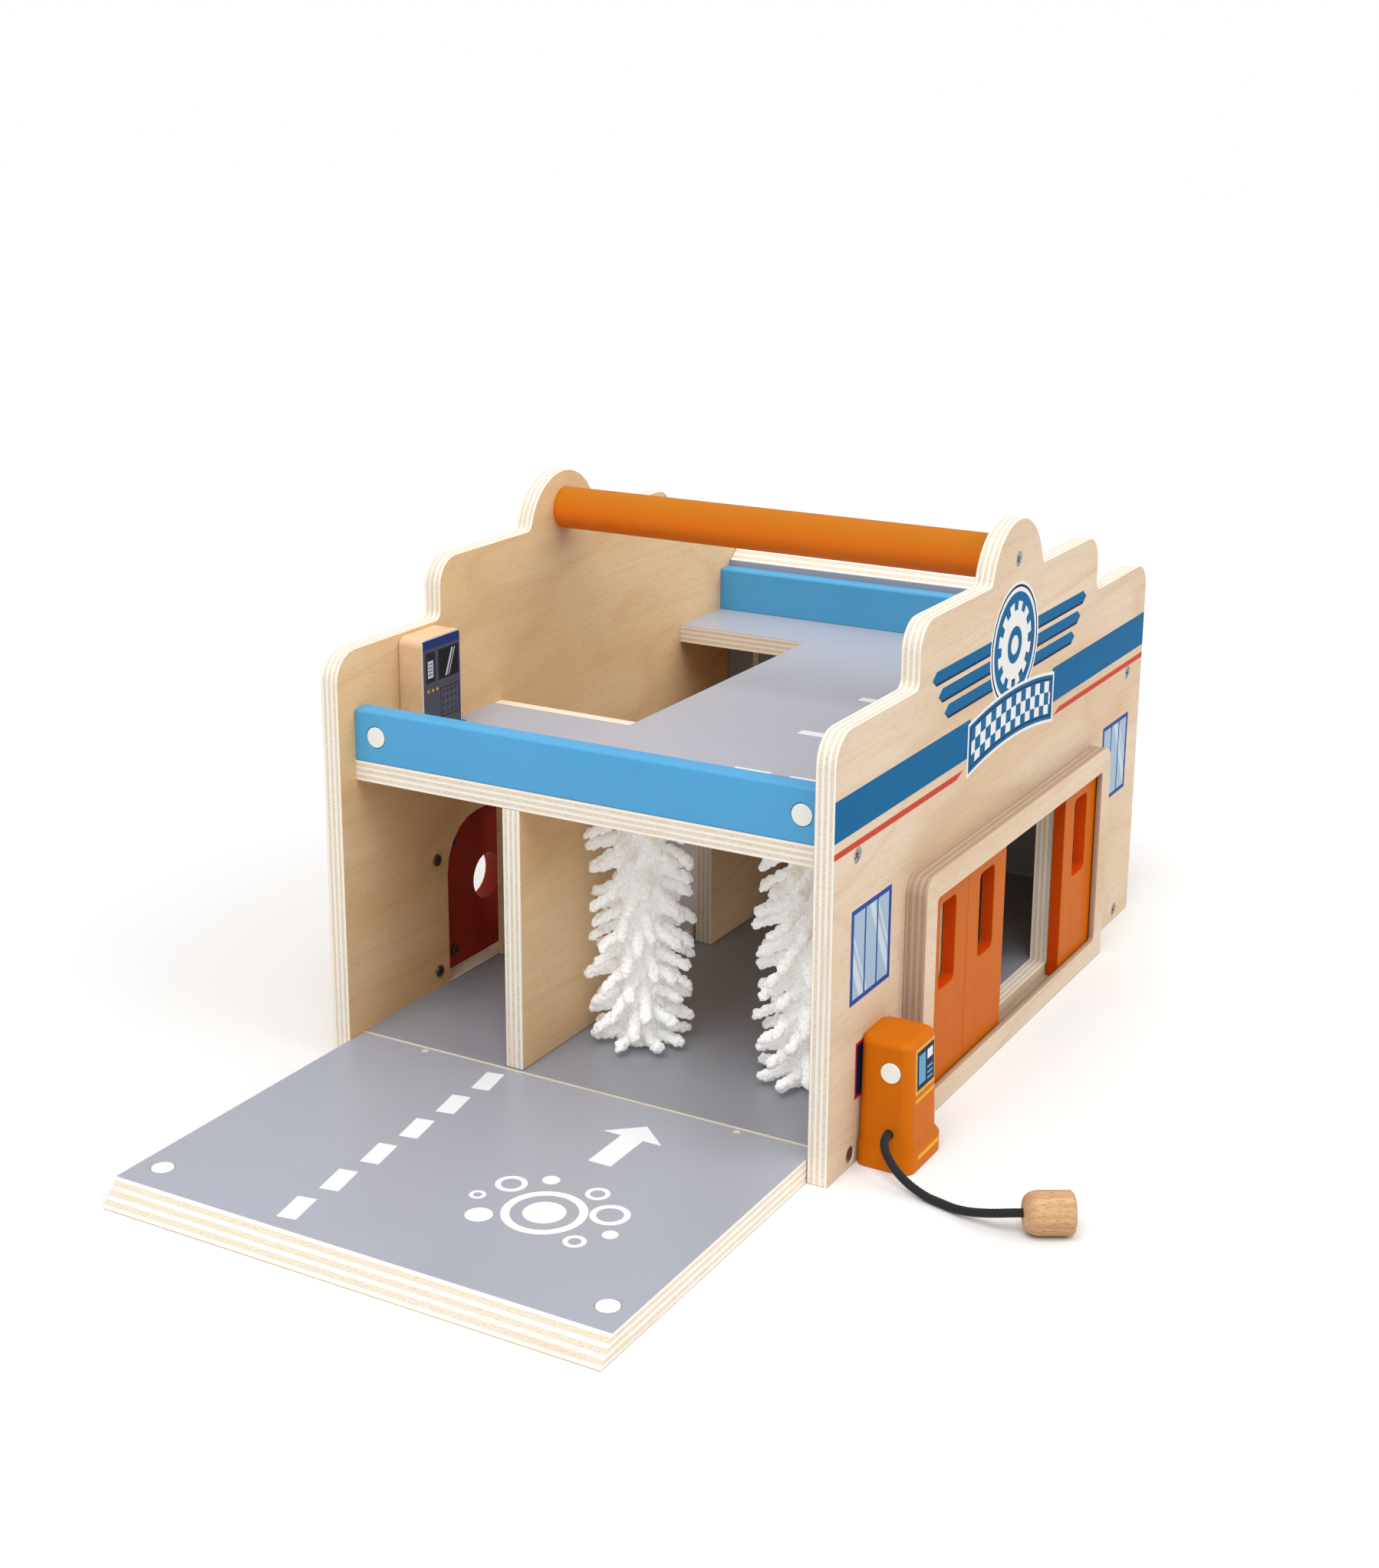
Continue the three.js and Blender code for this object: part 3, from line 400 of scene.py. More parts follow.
# Birch plywood walls
# Two 9 mm birch plywood walls, cut in steps to a round crest. The outer face of the right one is
# screen printed: windows, a band, a thin stripe and a plain cogwheel over a chequered banner.
# The boards other than the right wall and its frame take a warmer, brighter veneer: painted light for the
# warm light that bounces between the boards inside the garage.
bounce_lit_veneer, pale_veneer = (0.9, 0.81, 0.7), (0.74, 0.73, 0.79)
pale_edge, brown_edge = (0.92, 0.94, 1), (0.5, 0.41, 0.38)
veneer_light, veneer_dark = (246, 226, 194), (234, 205, 163)
streak_tan, figure_tan, fleck_tan = (220, 184, 140), (205, 160, 112), (198, 156, 112)
long_light, long_dark = (250, 244, 230), (244, 233, 212)
end_light, end_dark = (236, 221, 196), (218, 198, 168)
knot_tan, glue_tan = (222, 182, 146), (206, 180, 146)
veneer_depth, glue_from = 0.22, 0.44


def stretched(along, low, high):
    """Waves to the metre: low along one axis, and high along the other two."""
    return tuple(low if axis == along else high for axis in "xyz")


def plywood(
    name, axis, start, thickness, plies, along="y", mirrored=False, gain=bounce_lit_veneer, edge_gain=pale_edge,
):
    """Birch plywood as a solid pattern: long-grain and end-grain layers between two veneers.
    Its thickness begins at start on the axis, and the veneers' grain runs along another."""
    wood = Finish(name, Specular_IOR_Level=0.06)
    through = getattr(wood, axis)
    depth = (abs(through) if mirrored else through) - start
    layer = depth / (thickness / plies)

    clouds = wood.noise(stretched(along, 5, 17), detail=3)
    streaks = wood.noise(stretched(along, 14, 500), detail=3, roughness=0.6)
    figure = abs((wood.noise(stretched(along, 3.2, 12), roughness=0.35) * 9) % 1 - 0.5)
    flecks = wood.ramp(wood.noise(stretched(along, 260, 1900), detail=1), 0.6, 0.72)
    veneer = wood.layers(
        wood.mix(wood.ramp(clouds, 0.3, 0.7), srgb(*veneer_light, gain), srgb(*veneer_dark, gain)),
        (wood.ramp(streaks, 0.4, 0.8) * 0.3, srgb(*streak_tan, gain)),
        (wood.ramp(figure, 0.36, 0.5) * 0.16, srgb(*figure_tan, gain)),
        (flecks * 0.3, srgb(*fleck_tan, gain)),
    )
    fibre = wood.noise(stretched(axis, 2600, 55))
    pores = wood.noise((1500, 1500, 1500))
    knots = wood.ramp(wood.noise(stretched(axis, 500, 17)), 0.6, 0.7)
    long_grain = wood.mix(fibre, srgb(*long_light, edge_gain), srgb(*long_dark, edge_gain))
    end_grain = wood.mix(
        wood.ramp(pores, 0.35, 0.7), srgb(*end_light, edge_gain), srgb(*end_dark, edge_gain))
    edge = wood.layers(
        wood.mix((layer % 2) > 1, long_grain, end_grain),
        (knots * 0.3, srgb(*knot_tan, edge_gain)),
        ((abs(layer % 1 - 0.5) > glue_from) * 0.45, srgb(*glue_tan, edge_gain)),
    )
    face = (depth < veneer_depth) | (depth > thickness - veneer_depth)
    wood.colour = wood.mix(face, edge, veneer)
    wood.set(Base_Color=wood.colour, Roughness=streaks * 0.18 + 0.45)
    return wood.bump(streaks * 0.6 + pores * 0.4, distance=0.00012, strength=0.6)


def disc(y, z, centre_y, centre_z, radius):
    """1 inside a circle on a face."""
    across, up = y - centre_y, z - centre_z
    return across * across + up * up < radius * radius


def slab(y, z, y0, y1, z0, z1):
    """1 inside an upright rectangle on a face."""
    return (abs(y - (y0 + y1) / 2) < (y1 - y0) / 2) & (abs(z - (z0 + z1) / 2) < (z1 - z0) / 2)


left_ply = plywood("birch_left_wall", "x", start=116, thickness=9, plies=7, mirrored=True)
right_ply = plywood(
    "birch_right_wall", "x", start=116, thickness=9, plies=7, mirrored=True, gain=pale_veneer)
wall_face, print_depth = 125, 0.3
y, z = right_ply.y, right_ply.z
window_blue, pane_blue, pane_light = srgb(50, 82, 162), srgb(177, 201, 221), srgb(216, 229, 238)
band_blue, stripe_red, print_white = srgb(0, 106, 160), srgb(214, 76, 54), srgb(250, 249, 246)
navy, panel_red = srgb(16, 40, 84), srgb(220, 26, 30)
prints = []

window_width, window_height, border_side, border_end = 38.5, 41.2, 1.9, 2.2
pane_pitch, pane_half = 11.57, 5.1
glint_slope, glint_pitch, broad_at, broad_half, narrow_at, narrow_half = 0.5, 27, 12, 2.2, 17, 0.7
for window_start, window_low in ((-167.2, 72.3), (128.8, 73.2)):
    window_end, window_high = window_start + window_width, window_low + window_height
    pane_start, pane_end = window_start + border_side, window_end - border_side
    window = slab(y, z, window_start, window_end, window_low, window_high)
    panes = slab(y, z, pane_start, pane_end, window_low + border_end, window_high - border_end)
    bars = abs((y - pane_start) % pane_pitch - pane_pitch / 2) > pane_half
    glint = (z * glint_slope + y - (window_start + window_low * glint_slope)) % glint_pitch
    glints = (abs(glint - broad_at) < broad_half) | (abs(glint - narrow_at) < narrow_half)
    prints += [
        (window, window_blue),
        (panes, pane_blue),
        (panes & glints, pane_light),
        (panes & bars, window_blue),
    ]

band_z, band_half, band_gap = 155.7, 8.7, 50
stripe_z, stripe_half, stripe_slant, stripe_stop, stripe_start = 141.5, 1.4, 3, -60, 57.5
slanted = y - (z - stripe_z) * stripe_slant
prints += [
    ((abs(z - band_z) < band_half) & (abs(y) > band_gap), band_blue),
    ((abs(z - stripe_z) < stripe_half) & ((slanted < stripe_stop) | (slanted > stripe_start)), stripe_red),
    (slab(y, z, -160, -126, 28.7, 53.8), panel_red),
    (slab(y, z, -158.7, -126, 30, 52.5), navy),
]

sign_y, sign_z = -1, 187
bar_half, bar_slant, inlay_rise, inlay_half = 3.2, 1.4, 3.8, 2.6
outwards = abs(y - sign_y)
for bar_low, bar_reach in ((188.2, 93), (179.6, 86), (171, 79)):
    off_middle = abs(z - (bar_low + bar_half))
    pointed = outwards + off_middle * bar_slant < bar_reach
    prints += [
        ((off_middle < bar_half) & pointed, navy),
        ((abs(z - (bar_low + inlay_rise)) < inlay_half) & pointed, band_blue),
    ]
for radius, colour in ((29, print_white), (27.6, navy), (26.4, print_white), (24.4, band_blue)):
    prints.append((disc(y, z, sign_y, sign_z, radius), colour))

cog_teeth, tooth_half, tooth_radius, cog_radius, cog_shadow = 12, 0.26, 20, 16, 1.1
turn = right_ply.node("ShaderNodeMath", {"operation": "ARCTAN2"}, {0: z - sign_z, 1: y - sign_y})
tooth = abs(turn * (cog_teeth / (2 * pi)) % 1 - 0.5) < tooth_half
for drop, colour in ((cog_shadow, navy), (0, print_white)):
    cog_y, cog_z = sign_y + drop, sign_z - drop
    teeth = tooth & disc(y, z, cog_y, cog_z, tooth_radius)
    prints.append((disc(y, z, cog_y, cog_z, cog_radius) | teeth, colour))
for radius, colour in ((8.6, band_blue), (4.4, print_white)):
    prints.append((disc(y, z, sign_y, sign_z, radius), colour))

banner_half, banner_rise, banner_z = 52, 5, 150
chequer_y, chequer_z, chequer_pitch = -200, 146.6, 12
arched = z - (1 - y * y / banner_half ** 2) * banner_rise


def banner(half_width, half_height):
    """1 inside the banner, which is arched like a bridge."""
    return slab(y, arched, -half_width, half_width, banner_z - half_height, banner_z + half_height)


for half_width, half_height, colour in (
    (52.5, 12.4, print_white), (51, 10.9, band_blue), (49.5, 9.4, navy), (48.7, 8.6, band_blue),
):
    prints.append((banner(half_width, half_height), colour))
odd_column = (y - chequer_y) % chequer_pitch < chequer_pitch / 2
odd_row = (arched - chequer_z) % chequer_pitch < chequer_pitch / 2
prints.append((banner(48, 8) & (abs(odd_column + odd_row - 1) < 0.5), print_white))
right_ply.print_on(right_ply.x > wall_face - print_depth, prints)
dressed("side_panel_left", "left_wall", "garage", left_ply, edge=0.7)
dressed("side_panel_right", "right_wall", "garage", right_ply, edge=0.7)

# Floor and upper deck
# Two plywood boards between the walls, painted asphalt grey on top only. Their cut edges, and
# the edges of the lift well, stay bare. White bay lines are printed on the deck.
# The floor's grey is painted darker than the ramps': painted shade for the lanes under the deck. The deck's
# grey is painted lighter: painted light that makes up for the walls' shade on it.
floor_shade_gain, deck_light_gain, ramp_gain = 0.52, 0.78, 0.66
asphalt_light, asphalt_dark, speck_grey = (193, 196, 208), (186, 189, 201), (168, 170, 183)
road_white = srgb(250, 251, 255, 0.84)
paint_from, paint_full = 0.35, 0.1


def asphalt(wood, height, top, *marks, gain=ramp_gain):
    """Grey road paint on a board's top face, which lies at top on the height, with its white marks."""
    cloud = wood.noise((22, 22, 22))
    grain = wood.noise((1500, 1500, 1500))
    paint = wood.layers(
        wood.mix(cloud, srgb(*asphalt_light, gain), srgb(*asphalt_dark, gain)),
        (wood.ramp(grain, 0.55, 0.8) * 0.25, srgb(*speck_grey, gain)),
        *[(mark, road_white) for mark in marks],
    )
    painted_top = wood.ramp(height, top - paint_from, top - paint_full)
    wood.set(Base_Color=wood.mix(painted_top, wood.colour, paint), Roughness=grain * 0.14 + 0.26)
    wood.set(Specular_IOR_Level=0.4)


floor_ply = plywood("birch_floor", "z", start=0, thickness=10.8, plies=7)
asphalt(floor_ply, floor_ply.z, 10.8, gain=floor_shade_gain)
dressed("lower_floor", "floor_board", "garage", floor_ply, edge=0.4)

deck_ply = plywood("birch_deck", "z", start=131.4, thickness=9.4, plies=7)
across, along = deck_ply.x, deck_ply.y
bay_start, bay_end, line_half, dash_length, dash_pitch = 34, 108, 3, 18, 27.3
bays = [
    slab(across, along, bay_start, bay_end, middle - line_half, middle + line_half)
    & ((across - bay_start) % dash_pitch < dash_length)
    for middle in (-99.3, -34, 31.3, 96.6)]
asphalt(deck_ply, deck_ply.z, 140.8, *bays, gain=deck_light_gain)
dressed("deck", "deck_board", "garage", deck_ply, edge=0.4)

# Partition, rails and handle
# A plywood wall in two boards parts the lanes. Blue rails stand on the deck's ends, and a thick
# orange dowel between the crests is the carrying handle.
partition_ply = plywood("birch_partition", "x", start=-38.5, thickness=9, plies=7)
dressed("partition_front", "front_partition", "garage", partition_ply, edge=0.8)
dressed("partition_rear", "rear_partition", "garage", partition_ply, edge=0.8)


def painted(name, colour, shade, along="y", gloss=0.06):
    """Brushed wood paint: the grain still shows through as a faint relief."""
    paint = Finish(name, Specular_IOR_Level=gloss)
    cloud = paint.noise((16, 16, 16))
    grain = paint.noise(stretched(along, 22, 520), detail=3)
    paint.colour = paint.layers(paint.mix(cloud, colour, shade), (paint.ramp(grain, 0.45, 0.8) * 0.25, shade))
    paint.set(Base_Color=paint.colour, Roughness=grain * 0.2 + 0.32)
    return paint.bump(grain, distance=0.00006, strength=0.4)


blue = painted("blue_paint", srgb(95, 185, 238), srgb(86, 175, 228), along="x", gloss=0.25)
dressed("front_rail", "front_blue_rail", "garage", blue, edge=0.5)
dressed("rear_rail", "rear_blue_rail", "garage", blue, edge=0.5)

handle_orange, handle_shade = srgb(250, 130, 36, 0.95), srgb(242, 120, 28, 0.95)
# The handle's upper side is painted a yellower orange: painted light for the light that falls on its top.
handle_lit_top = srgb(180, 118, 24)
orange_x = painted("orange_handle_paint", handle_orange, handle_shade, along="x")
painted_top_light = orange_x.ramp(orange_x.z, 221, 235) * 0.7
orange_x.set(Base_Color=orange_x.mix(painted_top_light, orange_x.colour, handle_lit_top))
dressed("carry_handle", "handle_dowel", "garage", orange_x, edge=0)

# Magnets under white caps
# Eight disc magnets hold the folded ramps. They are glued into blind holes under thin white
# caps, flush with the rails and the ramps.
cap_white, cap_cream = srgb(250, 251, 246, 0.86), srgb(238, 239, 230, 0.86)
cap = Finish("white_cap", Roughness=0.5)
cap_fibre = cap.noise((260, 1400, 1400))
cap.set(Base_Color=cap.mix(cap_fibre, cap_white, cap_cream))
cap.bump(cap_fibre, distance=0.0001, strength=0.5)
for end in ("front", "rear"):
    for hand in ("left", "right"):
        for board, body in (("rail", "garage"), ("ramp", f"{end}_ramp")):
            magnet, name = f"{end}_{board}_magnet_{hand}", f"{end}_{board}_cap_{hand}"
            dressed(magnet, name, body, cap, edge=0.25)

# Folding ramps
# Each ramp is a plywood board on two steel pins, bevelled at the toe. Its upper face is painted
# grey and printed with white road marks, and its edges are bare.
front_ply = plywood("birch_front_ramp", "z", start=0, thickness=10.8, plies=7, along="x")
fx, fy = front_ply.x, front_ply.y
lane_x, mark_pitch, dash_half, dash_reach, lean = 37, 26.1, 4.2, 8.6, radians(10.4)
dashes = []
for number in range(6):
    side, ahead = fx + lane_x, fy - (mark_pitch * number - 319.8)
    slant_side, slant_ahead = side * cos(lean) + ahead * sin(lean), ahead * cos(lean) - side * sin(lean)
    dashes.append((abs(slant_side) < dash_half) & (abs(slant_ahead) < dash_reach))
arrow_x, arrow_tip, arrow_neck, arrow_spread = 45.2, -192, -204.2, 1.15
arrow_shaft = slab(fx, fy, 39.8, 50.4, -230, -204)
arrow_head = (abs(fx - arrow_x) < (arrow_tip - fy) * arrow_spread) & (fy > arrow_neck)
bubbles = []
for place_x, place_y, radius, hollow in (
    (48, -275, 17, 13.5), (48, -275, 8.5, 0), (24, -262, 6.5, 4.2), (71, -264, 8, 5.4), (27, -289, 5.5, 0),
    (70, -288, 4.6, 2.6), (36, -251.5, 3.6, 0), (58, -252, 5, 3), (79, -277, 3.2, 0), (17.5, -276, 3.4, 1.8),
):
    bubble = disc(fx, fy, place_x, place_y, radius)
    bubbles.append(bubble & (1 - disc(fx, fy, place_x, place_y, hollow)) if hollow else bubble)
asphalt(front_ply, front_ply.z, 10.8, *dashes, arrow_shaft | arrow_head, *bubbles)
dressed("front_ramp", "front_ramp_board", "front_ramp", front_ply, edge=0.4)

rear_face = 173.6
rear_ply = plywood("birch_rear_ramp", "y", start=rear_face, thickness=10.8, plies=7, along="x")
rx, rz = rear_ply.x, rear_ply.z
rear_dash_half, rear_dash_start, rear_dash_length = 4.3, 14, 17
rear_dashes = (abs(rx - lane_x) < rear_dash_half) & ((rz - rear_dash_start) % mark_pitch < rear_dash_length)
line_x, line_half, line_z, line_reach = -98.3, 1.7, 77, 41
stroke_start, stroke_pitch, stroke_length = 36, 52, 30
lane_line = (
    (abs(rx - line_x) < line_half) & (abs(rz - line_z) < line_reach)
    & ((rz - stroke_start) % stroke_pitch < stroke_length))
asphalt(rear_ply, rear_ply.y * -1, -rear_face, rear_dashes, lane_line)
dressed("rear_ramp", "rear_ramp_board", "rear_ramp", rear_ply, edge=0.4)

# Wide sliding door
# A plywood frame glued on the right wall, with a groove routed behind its lip. Three orange
# doors slide in it, each with a tall slot as its pull. Their cut edges are painted a redder orange as painted
# shade.
frame_ply = plywood(
    "birch_frame", "x", start=125, thickness=10, plies=7, gain=pale_veneer, edge_gain=brown_edge)
dressed("door_frame", "sliding_door_frame", "garage", frame_ply, edge=0.8)
door_orange, door_shade, door_edge_shade_red = srgb(220, 112, 0), srgb(211, 101, 0), srgb(226, 78, 10)
face_depth = 0.5
orange_z = painted("orange_door_paint", door_orange, door_shade, along="z")
# The doors' cut edges are painted redder: painted shade for the edges, which lie in shadow.
door_back, door_face = (corner[0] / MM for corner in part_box("sliding_door_front"))
door_edge_shade = (orange_z.x > door_back + face_depth) & (orange_z.x < door_face - face_depth)
orange_z.set(Base_Color=orange_z.mix(door_edge_shade, orange_z.colour, door_edge_shade_red))
for place, body in (("front", "front_shutter"), ("middle", "middle_shutter"), ("rear", "rear_shutter")):
    dressed(f"sliding_door_{place}", f"{place}_orange_door", body, orange_z, edge=0.6)

# Arched side door
# A red door closes the arch in the left wall from outside. It turns on two wooden hinges: a
# forked block on the wall, a tongued strap on the door and a steel pin through both.
red = painted("red_paint", srgb(188, 66, 48), srgb(174, 58, 42), along="z")
dressed("side_door", "red_side_door", "arched_door", red, edge=0.7)
block_ply = plywood("birch_hinge", "z", start=0, thickness=7.3, plies=5)
steel_light, steel_dark, turning_marks = srgb(176, 174, 170, 1), srgb(120, 118, 115, 1), (900, 900, 900)
steel = Finish("steel", Metallic=1)
turning = steel.noise(turning_marks)
steel.set(Base_Color=steel.mix(turning, steel_light, steel_dark), Roughness=turning * 0.25 + 0.22)
for place in ("lower", "upper"):
    for part, name, body in (("block", "fork", "garage"), ("strap", "tongue", "arched_door")):
        dressed(f"hinge_{part}_{place}", f"{place}_hinge_{name}", body, block_ply, edge=0.6)
    dressed(f"hinge_pin_{place}", f"{place}_hinge_rod", "garage", steel, edge=0.2)

# Lift
# A plywood portal stands at the well's front edge. The platform's two headed pins run in its
# slots, and its round hole takes a finger.
portal_ply = plywood("birch_portal", "y", start=-64.9, thickness=6, plies=5, along="x")
dressed("lift_portal", "lift_gateway", "garage", portal_ply, edge=0.3)
platform_ply = plywood("birch_platform", "z", start=11.1, thickness=9, plies=7)
asphalt(platform_ply, platform_ply.z, 20.1)
dressed("lift_platform", "lift_board", "lift", platform_ply, edge=0.5)
for hand in ("left", "right"):
    dressed(f"lift_pin_{hand}", f"lift_headed_pin_{hand}", "lift", steel, edge=0.2)
    for end in ("front", "rear"):
        dressed(f"{end}_ramp_pin_{hand}", f"{end}_ramp_rod_{hand}", "garage", steel, edge=0.2)

# Wash brushes
# A beech spindle between floor and deck carries a knitted sleeve with rows of soft chenille
# fingers, which stand out to the lane and droop a little. A faint emission, painted light, keeps the yarn
# white in the shade.
brush_axis_y, sleeve_low, sleeve_high = -118.2, 12.4, 129.8
core_radius, core_sides, core_pitch, core_wall, core_tufts = 10.2, 30, 2.6, 2.4, 1.5
finger_rows, finger_columns, finger_reach, finger_radius, finger_root = 12, 8, 25.8, 2.8, 8.2
finger_sides, finger_cuts = 8, (0.2, 0.4, 0.6, 0.78, 0.88, 0.95, 0.985)
row_start, row_room, end_gap, bend_power = 5, 9, 1, 1.5
coarse_tufts, fine_tufts, fine_share = 210, 520, 0.6
turn_play, height_play, droop, sway_play = 0.14, 1.5, (-9, -2), 3
reach_play, plump_play = (0.88, 1), (0.86, 1.05)
tip_start, tip_length, tip_least = 0.86, 0.14, 0.25
pile_grain, pile_loops, pile_relief, pile_level = 0.78, 440, 2, 0.35
yarn_shade_cream, yarn_white = srgb(248, 243, 230, 1), srgb(255, 255, 253, 1)
chenille = Finish(
    "white_chenille", Roughness=0.95, Specular_IOR_Level=0.1, Sheen_Weight=0.6, Sheen_Roughness=0.5,
    Emission_Color=(1, 1, 1, 1), Emission_Strength=0.17,
    Subsurface_Weight=0.7, Subsurface_Radius=(1, 1, 0.9), Subsurface_Scale=0.004)
cell = chenille.node(
    "ShaderNodeTexVoronoi", {"feature": "F1"}, {"Vector": chenille.waves((900, 900, 900)), "Scale": 1})
loops = 1 - cell * cell
tufts = chenille.noise((200, 200, 200))
# Cream in the crevices between the knit's loops is painted shade, mixed with random tufts of cream.
fluff_and_crevice_shade = chenille.ramp(tufts * 0.5 + loops * 0.5, 0.3, 0.65)
chenille.set(Base_Color=chenille.mix(fluff_and_crevice_shade, yarn_shade_cream, yarn_white))
chenille.bump(loops, distance=0.0006)
spindle_beech = beech_wood("spindle_beech", (0, pi / 2, 0))
draws = Random(7)


def cut_across(heights):
    """Cuts the active mesh level at each height, given as a share or in metres."""
    bpy.ops.object.mode_set(mode="EDIT")
    for height in heights:
        bpy.ops.mesh.select_all(action="SELECT")
        bpy.ops.mesh.bisect(plane_co=(0, 0, height), plane_no=(0, 0, 1))
    bpy.ops.object.mode_set(mode="OBJECT")


def open_cylinder(sides, radius, low, high):
    """An open tube around the z axis with its place in its mesh."""
    bpy.ops.object.select_all(action="DESELECT")
    bpy.ops.mesh.primitive_cylinder_add(
        vertices=sides, radius=radius, depth=high - low, end_fill_type="NOTHING",
        location=(0, 0, (low + high) / 2))
    bpy.ops.object.transform_apply(location=True, rotation=False, scale=False)
    return bpy.context.object


finger_pattern = open_cylinder(finger_sides, 1, 0, 1)
cut_across(finger_cuts)


def knitted_core(axis_x):
    """The sleeve's round body on its spindle, uneven outside from the knit."""
    core = open_cylinder(core_sides, core_radius * MM, sleeve_low * MM, sleeve_high * MM)
    core_cuts = int((sleeve_high - sleeve_low) / core_pitch)
    cut_across([(sleeve_low + core_pitch * (number + 0.5)) * MM for number in range(core_cuts)])
    for vert in core.data.vertices:
        outward = Vector((vert.co.x, vert.co.y, 0)).normalized()
        tuft = noise.noise(vert.co * coarse_tufts) + fine_share * noise.noise(vert.co * fine_tufts)
        vert.co += outward * (core_tufts * tuft * MM)
        vert.co += Vector((axis_x, brush_axis_y, 0)) * MM
    apply(core, "SOLIDIFY", thickness=core_wall * MM, offset=-1)
    return core


def chenille_finger(axis_x, height, turn):
    """One finger that stands out from the core and droops, with a rounded tip. No two are alike."""
    turn += draws.uniform(-turn_play, turn_play)
    level = height + draws.uniform(-height_play, height_play)
    drop, sway = draws.uniform(*droop), draws.uniform(-sway_play, sway_play)
    reach = finger_reach * draws.uniform(*reach_play)
    plump = finger_radius * draws.uniform(*plump_play)
    lowest, highest = sleeve_low + plump + end_gap, sleeve_high - plump - end_gap
    out, side = Vector((cos(turn), sin(turn), 0)), Vector((-sin(turn), cos(turn), 0))
    made = finger_pattern.copy()
    made.data = finger_pattern.data.copy()
    bpy.context.collection.objects.link(made)
    for vert in made.data.vertices:
        share, angle = vert.co.z, atan2(vert.co.y, vert.co.x)
        bend = share ** bend_power
        thick = plump * max(tip_least, sqrt(1 - (max(0, share - tip_start) / tip_length) ** 2))
        middle = min(max(level + drop * bend, lowest), highest)
        knot = finger_root + (reach - finger_root) * share
        vert.co = (
            Vector((axis_x, brush_axis_y, middle)) + out * knot
            + side * (sway * bend + thick * cos(angle)) + Vector((0, 0, thick * sin(angle)))
        ) * MM
    return made


for hand, axis_x in (("left", -1.5), ("right", 83.5)):
    core = knitted_core(axis_x)
    fingers = []
    for row in range(finger_rows):
        height = sleeve_low + row_start + (sleeve_high - sleeve_low - row_room) * row / (finger_rows - 1)
        for column in range(finger_columns):
            turn = 2 * pi * (column + (row % 2) / 2) / finger_columns
            fingers.append(chenille_finger(axis_x, height, turn))
    ready(*fingers)
    bpy.ops.object.join()
    bpy.ops.object.mode_set(mode="EDIT")
    bpy.ops.mesh.select_all(action="SELECT")
    bpy.ops.mesh.region_to_loop()
    bpy.ops.mesh.edge_face_add()
    bpy.ops.mesh.select_all(action="SELECT")
    bpy.ops.mesh.normals_make_consistent(inside=False)
    bpy.ops.object.mode_set(mode="OBJECT")
    ready(core, fingers[0])
    bpy.ops.object.join()
    brush = bpy.context.object
    brush.name = f"{hand}_wash_brush"
    apply(brush, "REMESH", mode="VOXEL", voxel_size=pile_grain * MM, use_smooth_shade=True)
    for vert, normal in [(vert, vert.normal.copy()) for vert in brush.data.vertices]:
        loop = pile_level - noise.voronoi(vert.co * pile_loops)[0][0] ** 2
        vert.co += normal * (pile_relief * loop * MM)
    brush.data.materials.append(chenille.material)
    bpy.ops.object.shade_smooth()
    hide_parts(f"brush_sleeve_{hand}")
    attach(brush, f"{hand}_brush")
    spindle = f"{hand}_brush_spindle"
    dressed(f"brush_spindle_{hand}", spindle, f"{hand}_brush", spindle_beech, edge=0.3)
bpy.data.objects.remove(finger_pattern)

# Payment terminal
# A small beech block against the left wall on a dark foot. Its face to the deck is printed like
# a ticket machine.
terminal_light, terminal_dark = srgb(250, 212, 168, 0.82), srgb(240, 196, 150, 0.82)
terminal_ray = srgb(214, 164, 114, 0.82)
terminal = Finish("terminal_wood", Roughness=0.5, Specular_IOR_Level=0.3)
terminal_rays = terminal.noise((220, 120, 2300), detail=3)
terminal.colour = terminal.layers(
    terminal.mix(terminal.noise((30, 12, 160)), terminal_light, terminal_dark),
    (terminal.ramp(terminal_rays, 0.5, 0.75) * 0.5, terminal_ray),
)
ty, tz = terminal.y, terminal.z
panel_grey, panel_dark, panel_navy = srgb(84, 82, 94), srgb(26, 26, 34), srgb(22, 56, 118)
coin_yellow, ticket_white, screen_black = srgb(244, 190, 20), srgb(214, 216, 230), srgb(12, 12, 18)
key_pitch, key_radius, coin_pitch, coin_radius, coin_z = 3.2, 0.62, 3.4, 0.75, 164.6
keys = disc((ty + 125.6) % key_pitch, (tz - 151) % key_pitch, key_pitch / 2, key_pitch / 2, key_radius)
coins = disc((ty + 137) % coin_pitch, tz, coin_pitch / 2, coin_z, coin_radius)
screen = slab(ty, tz, -126.4, -112.4, 169.4, 181.6)
sheen_slope, terminal_face = 0.42, -103.4
sheen = ty - tz * sheen_slope
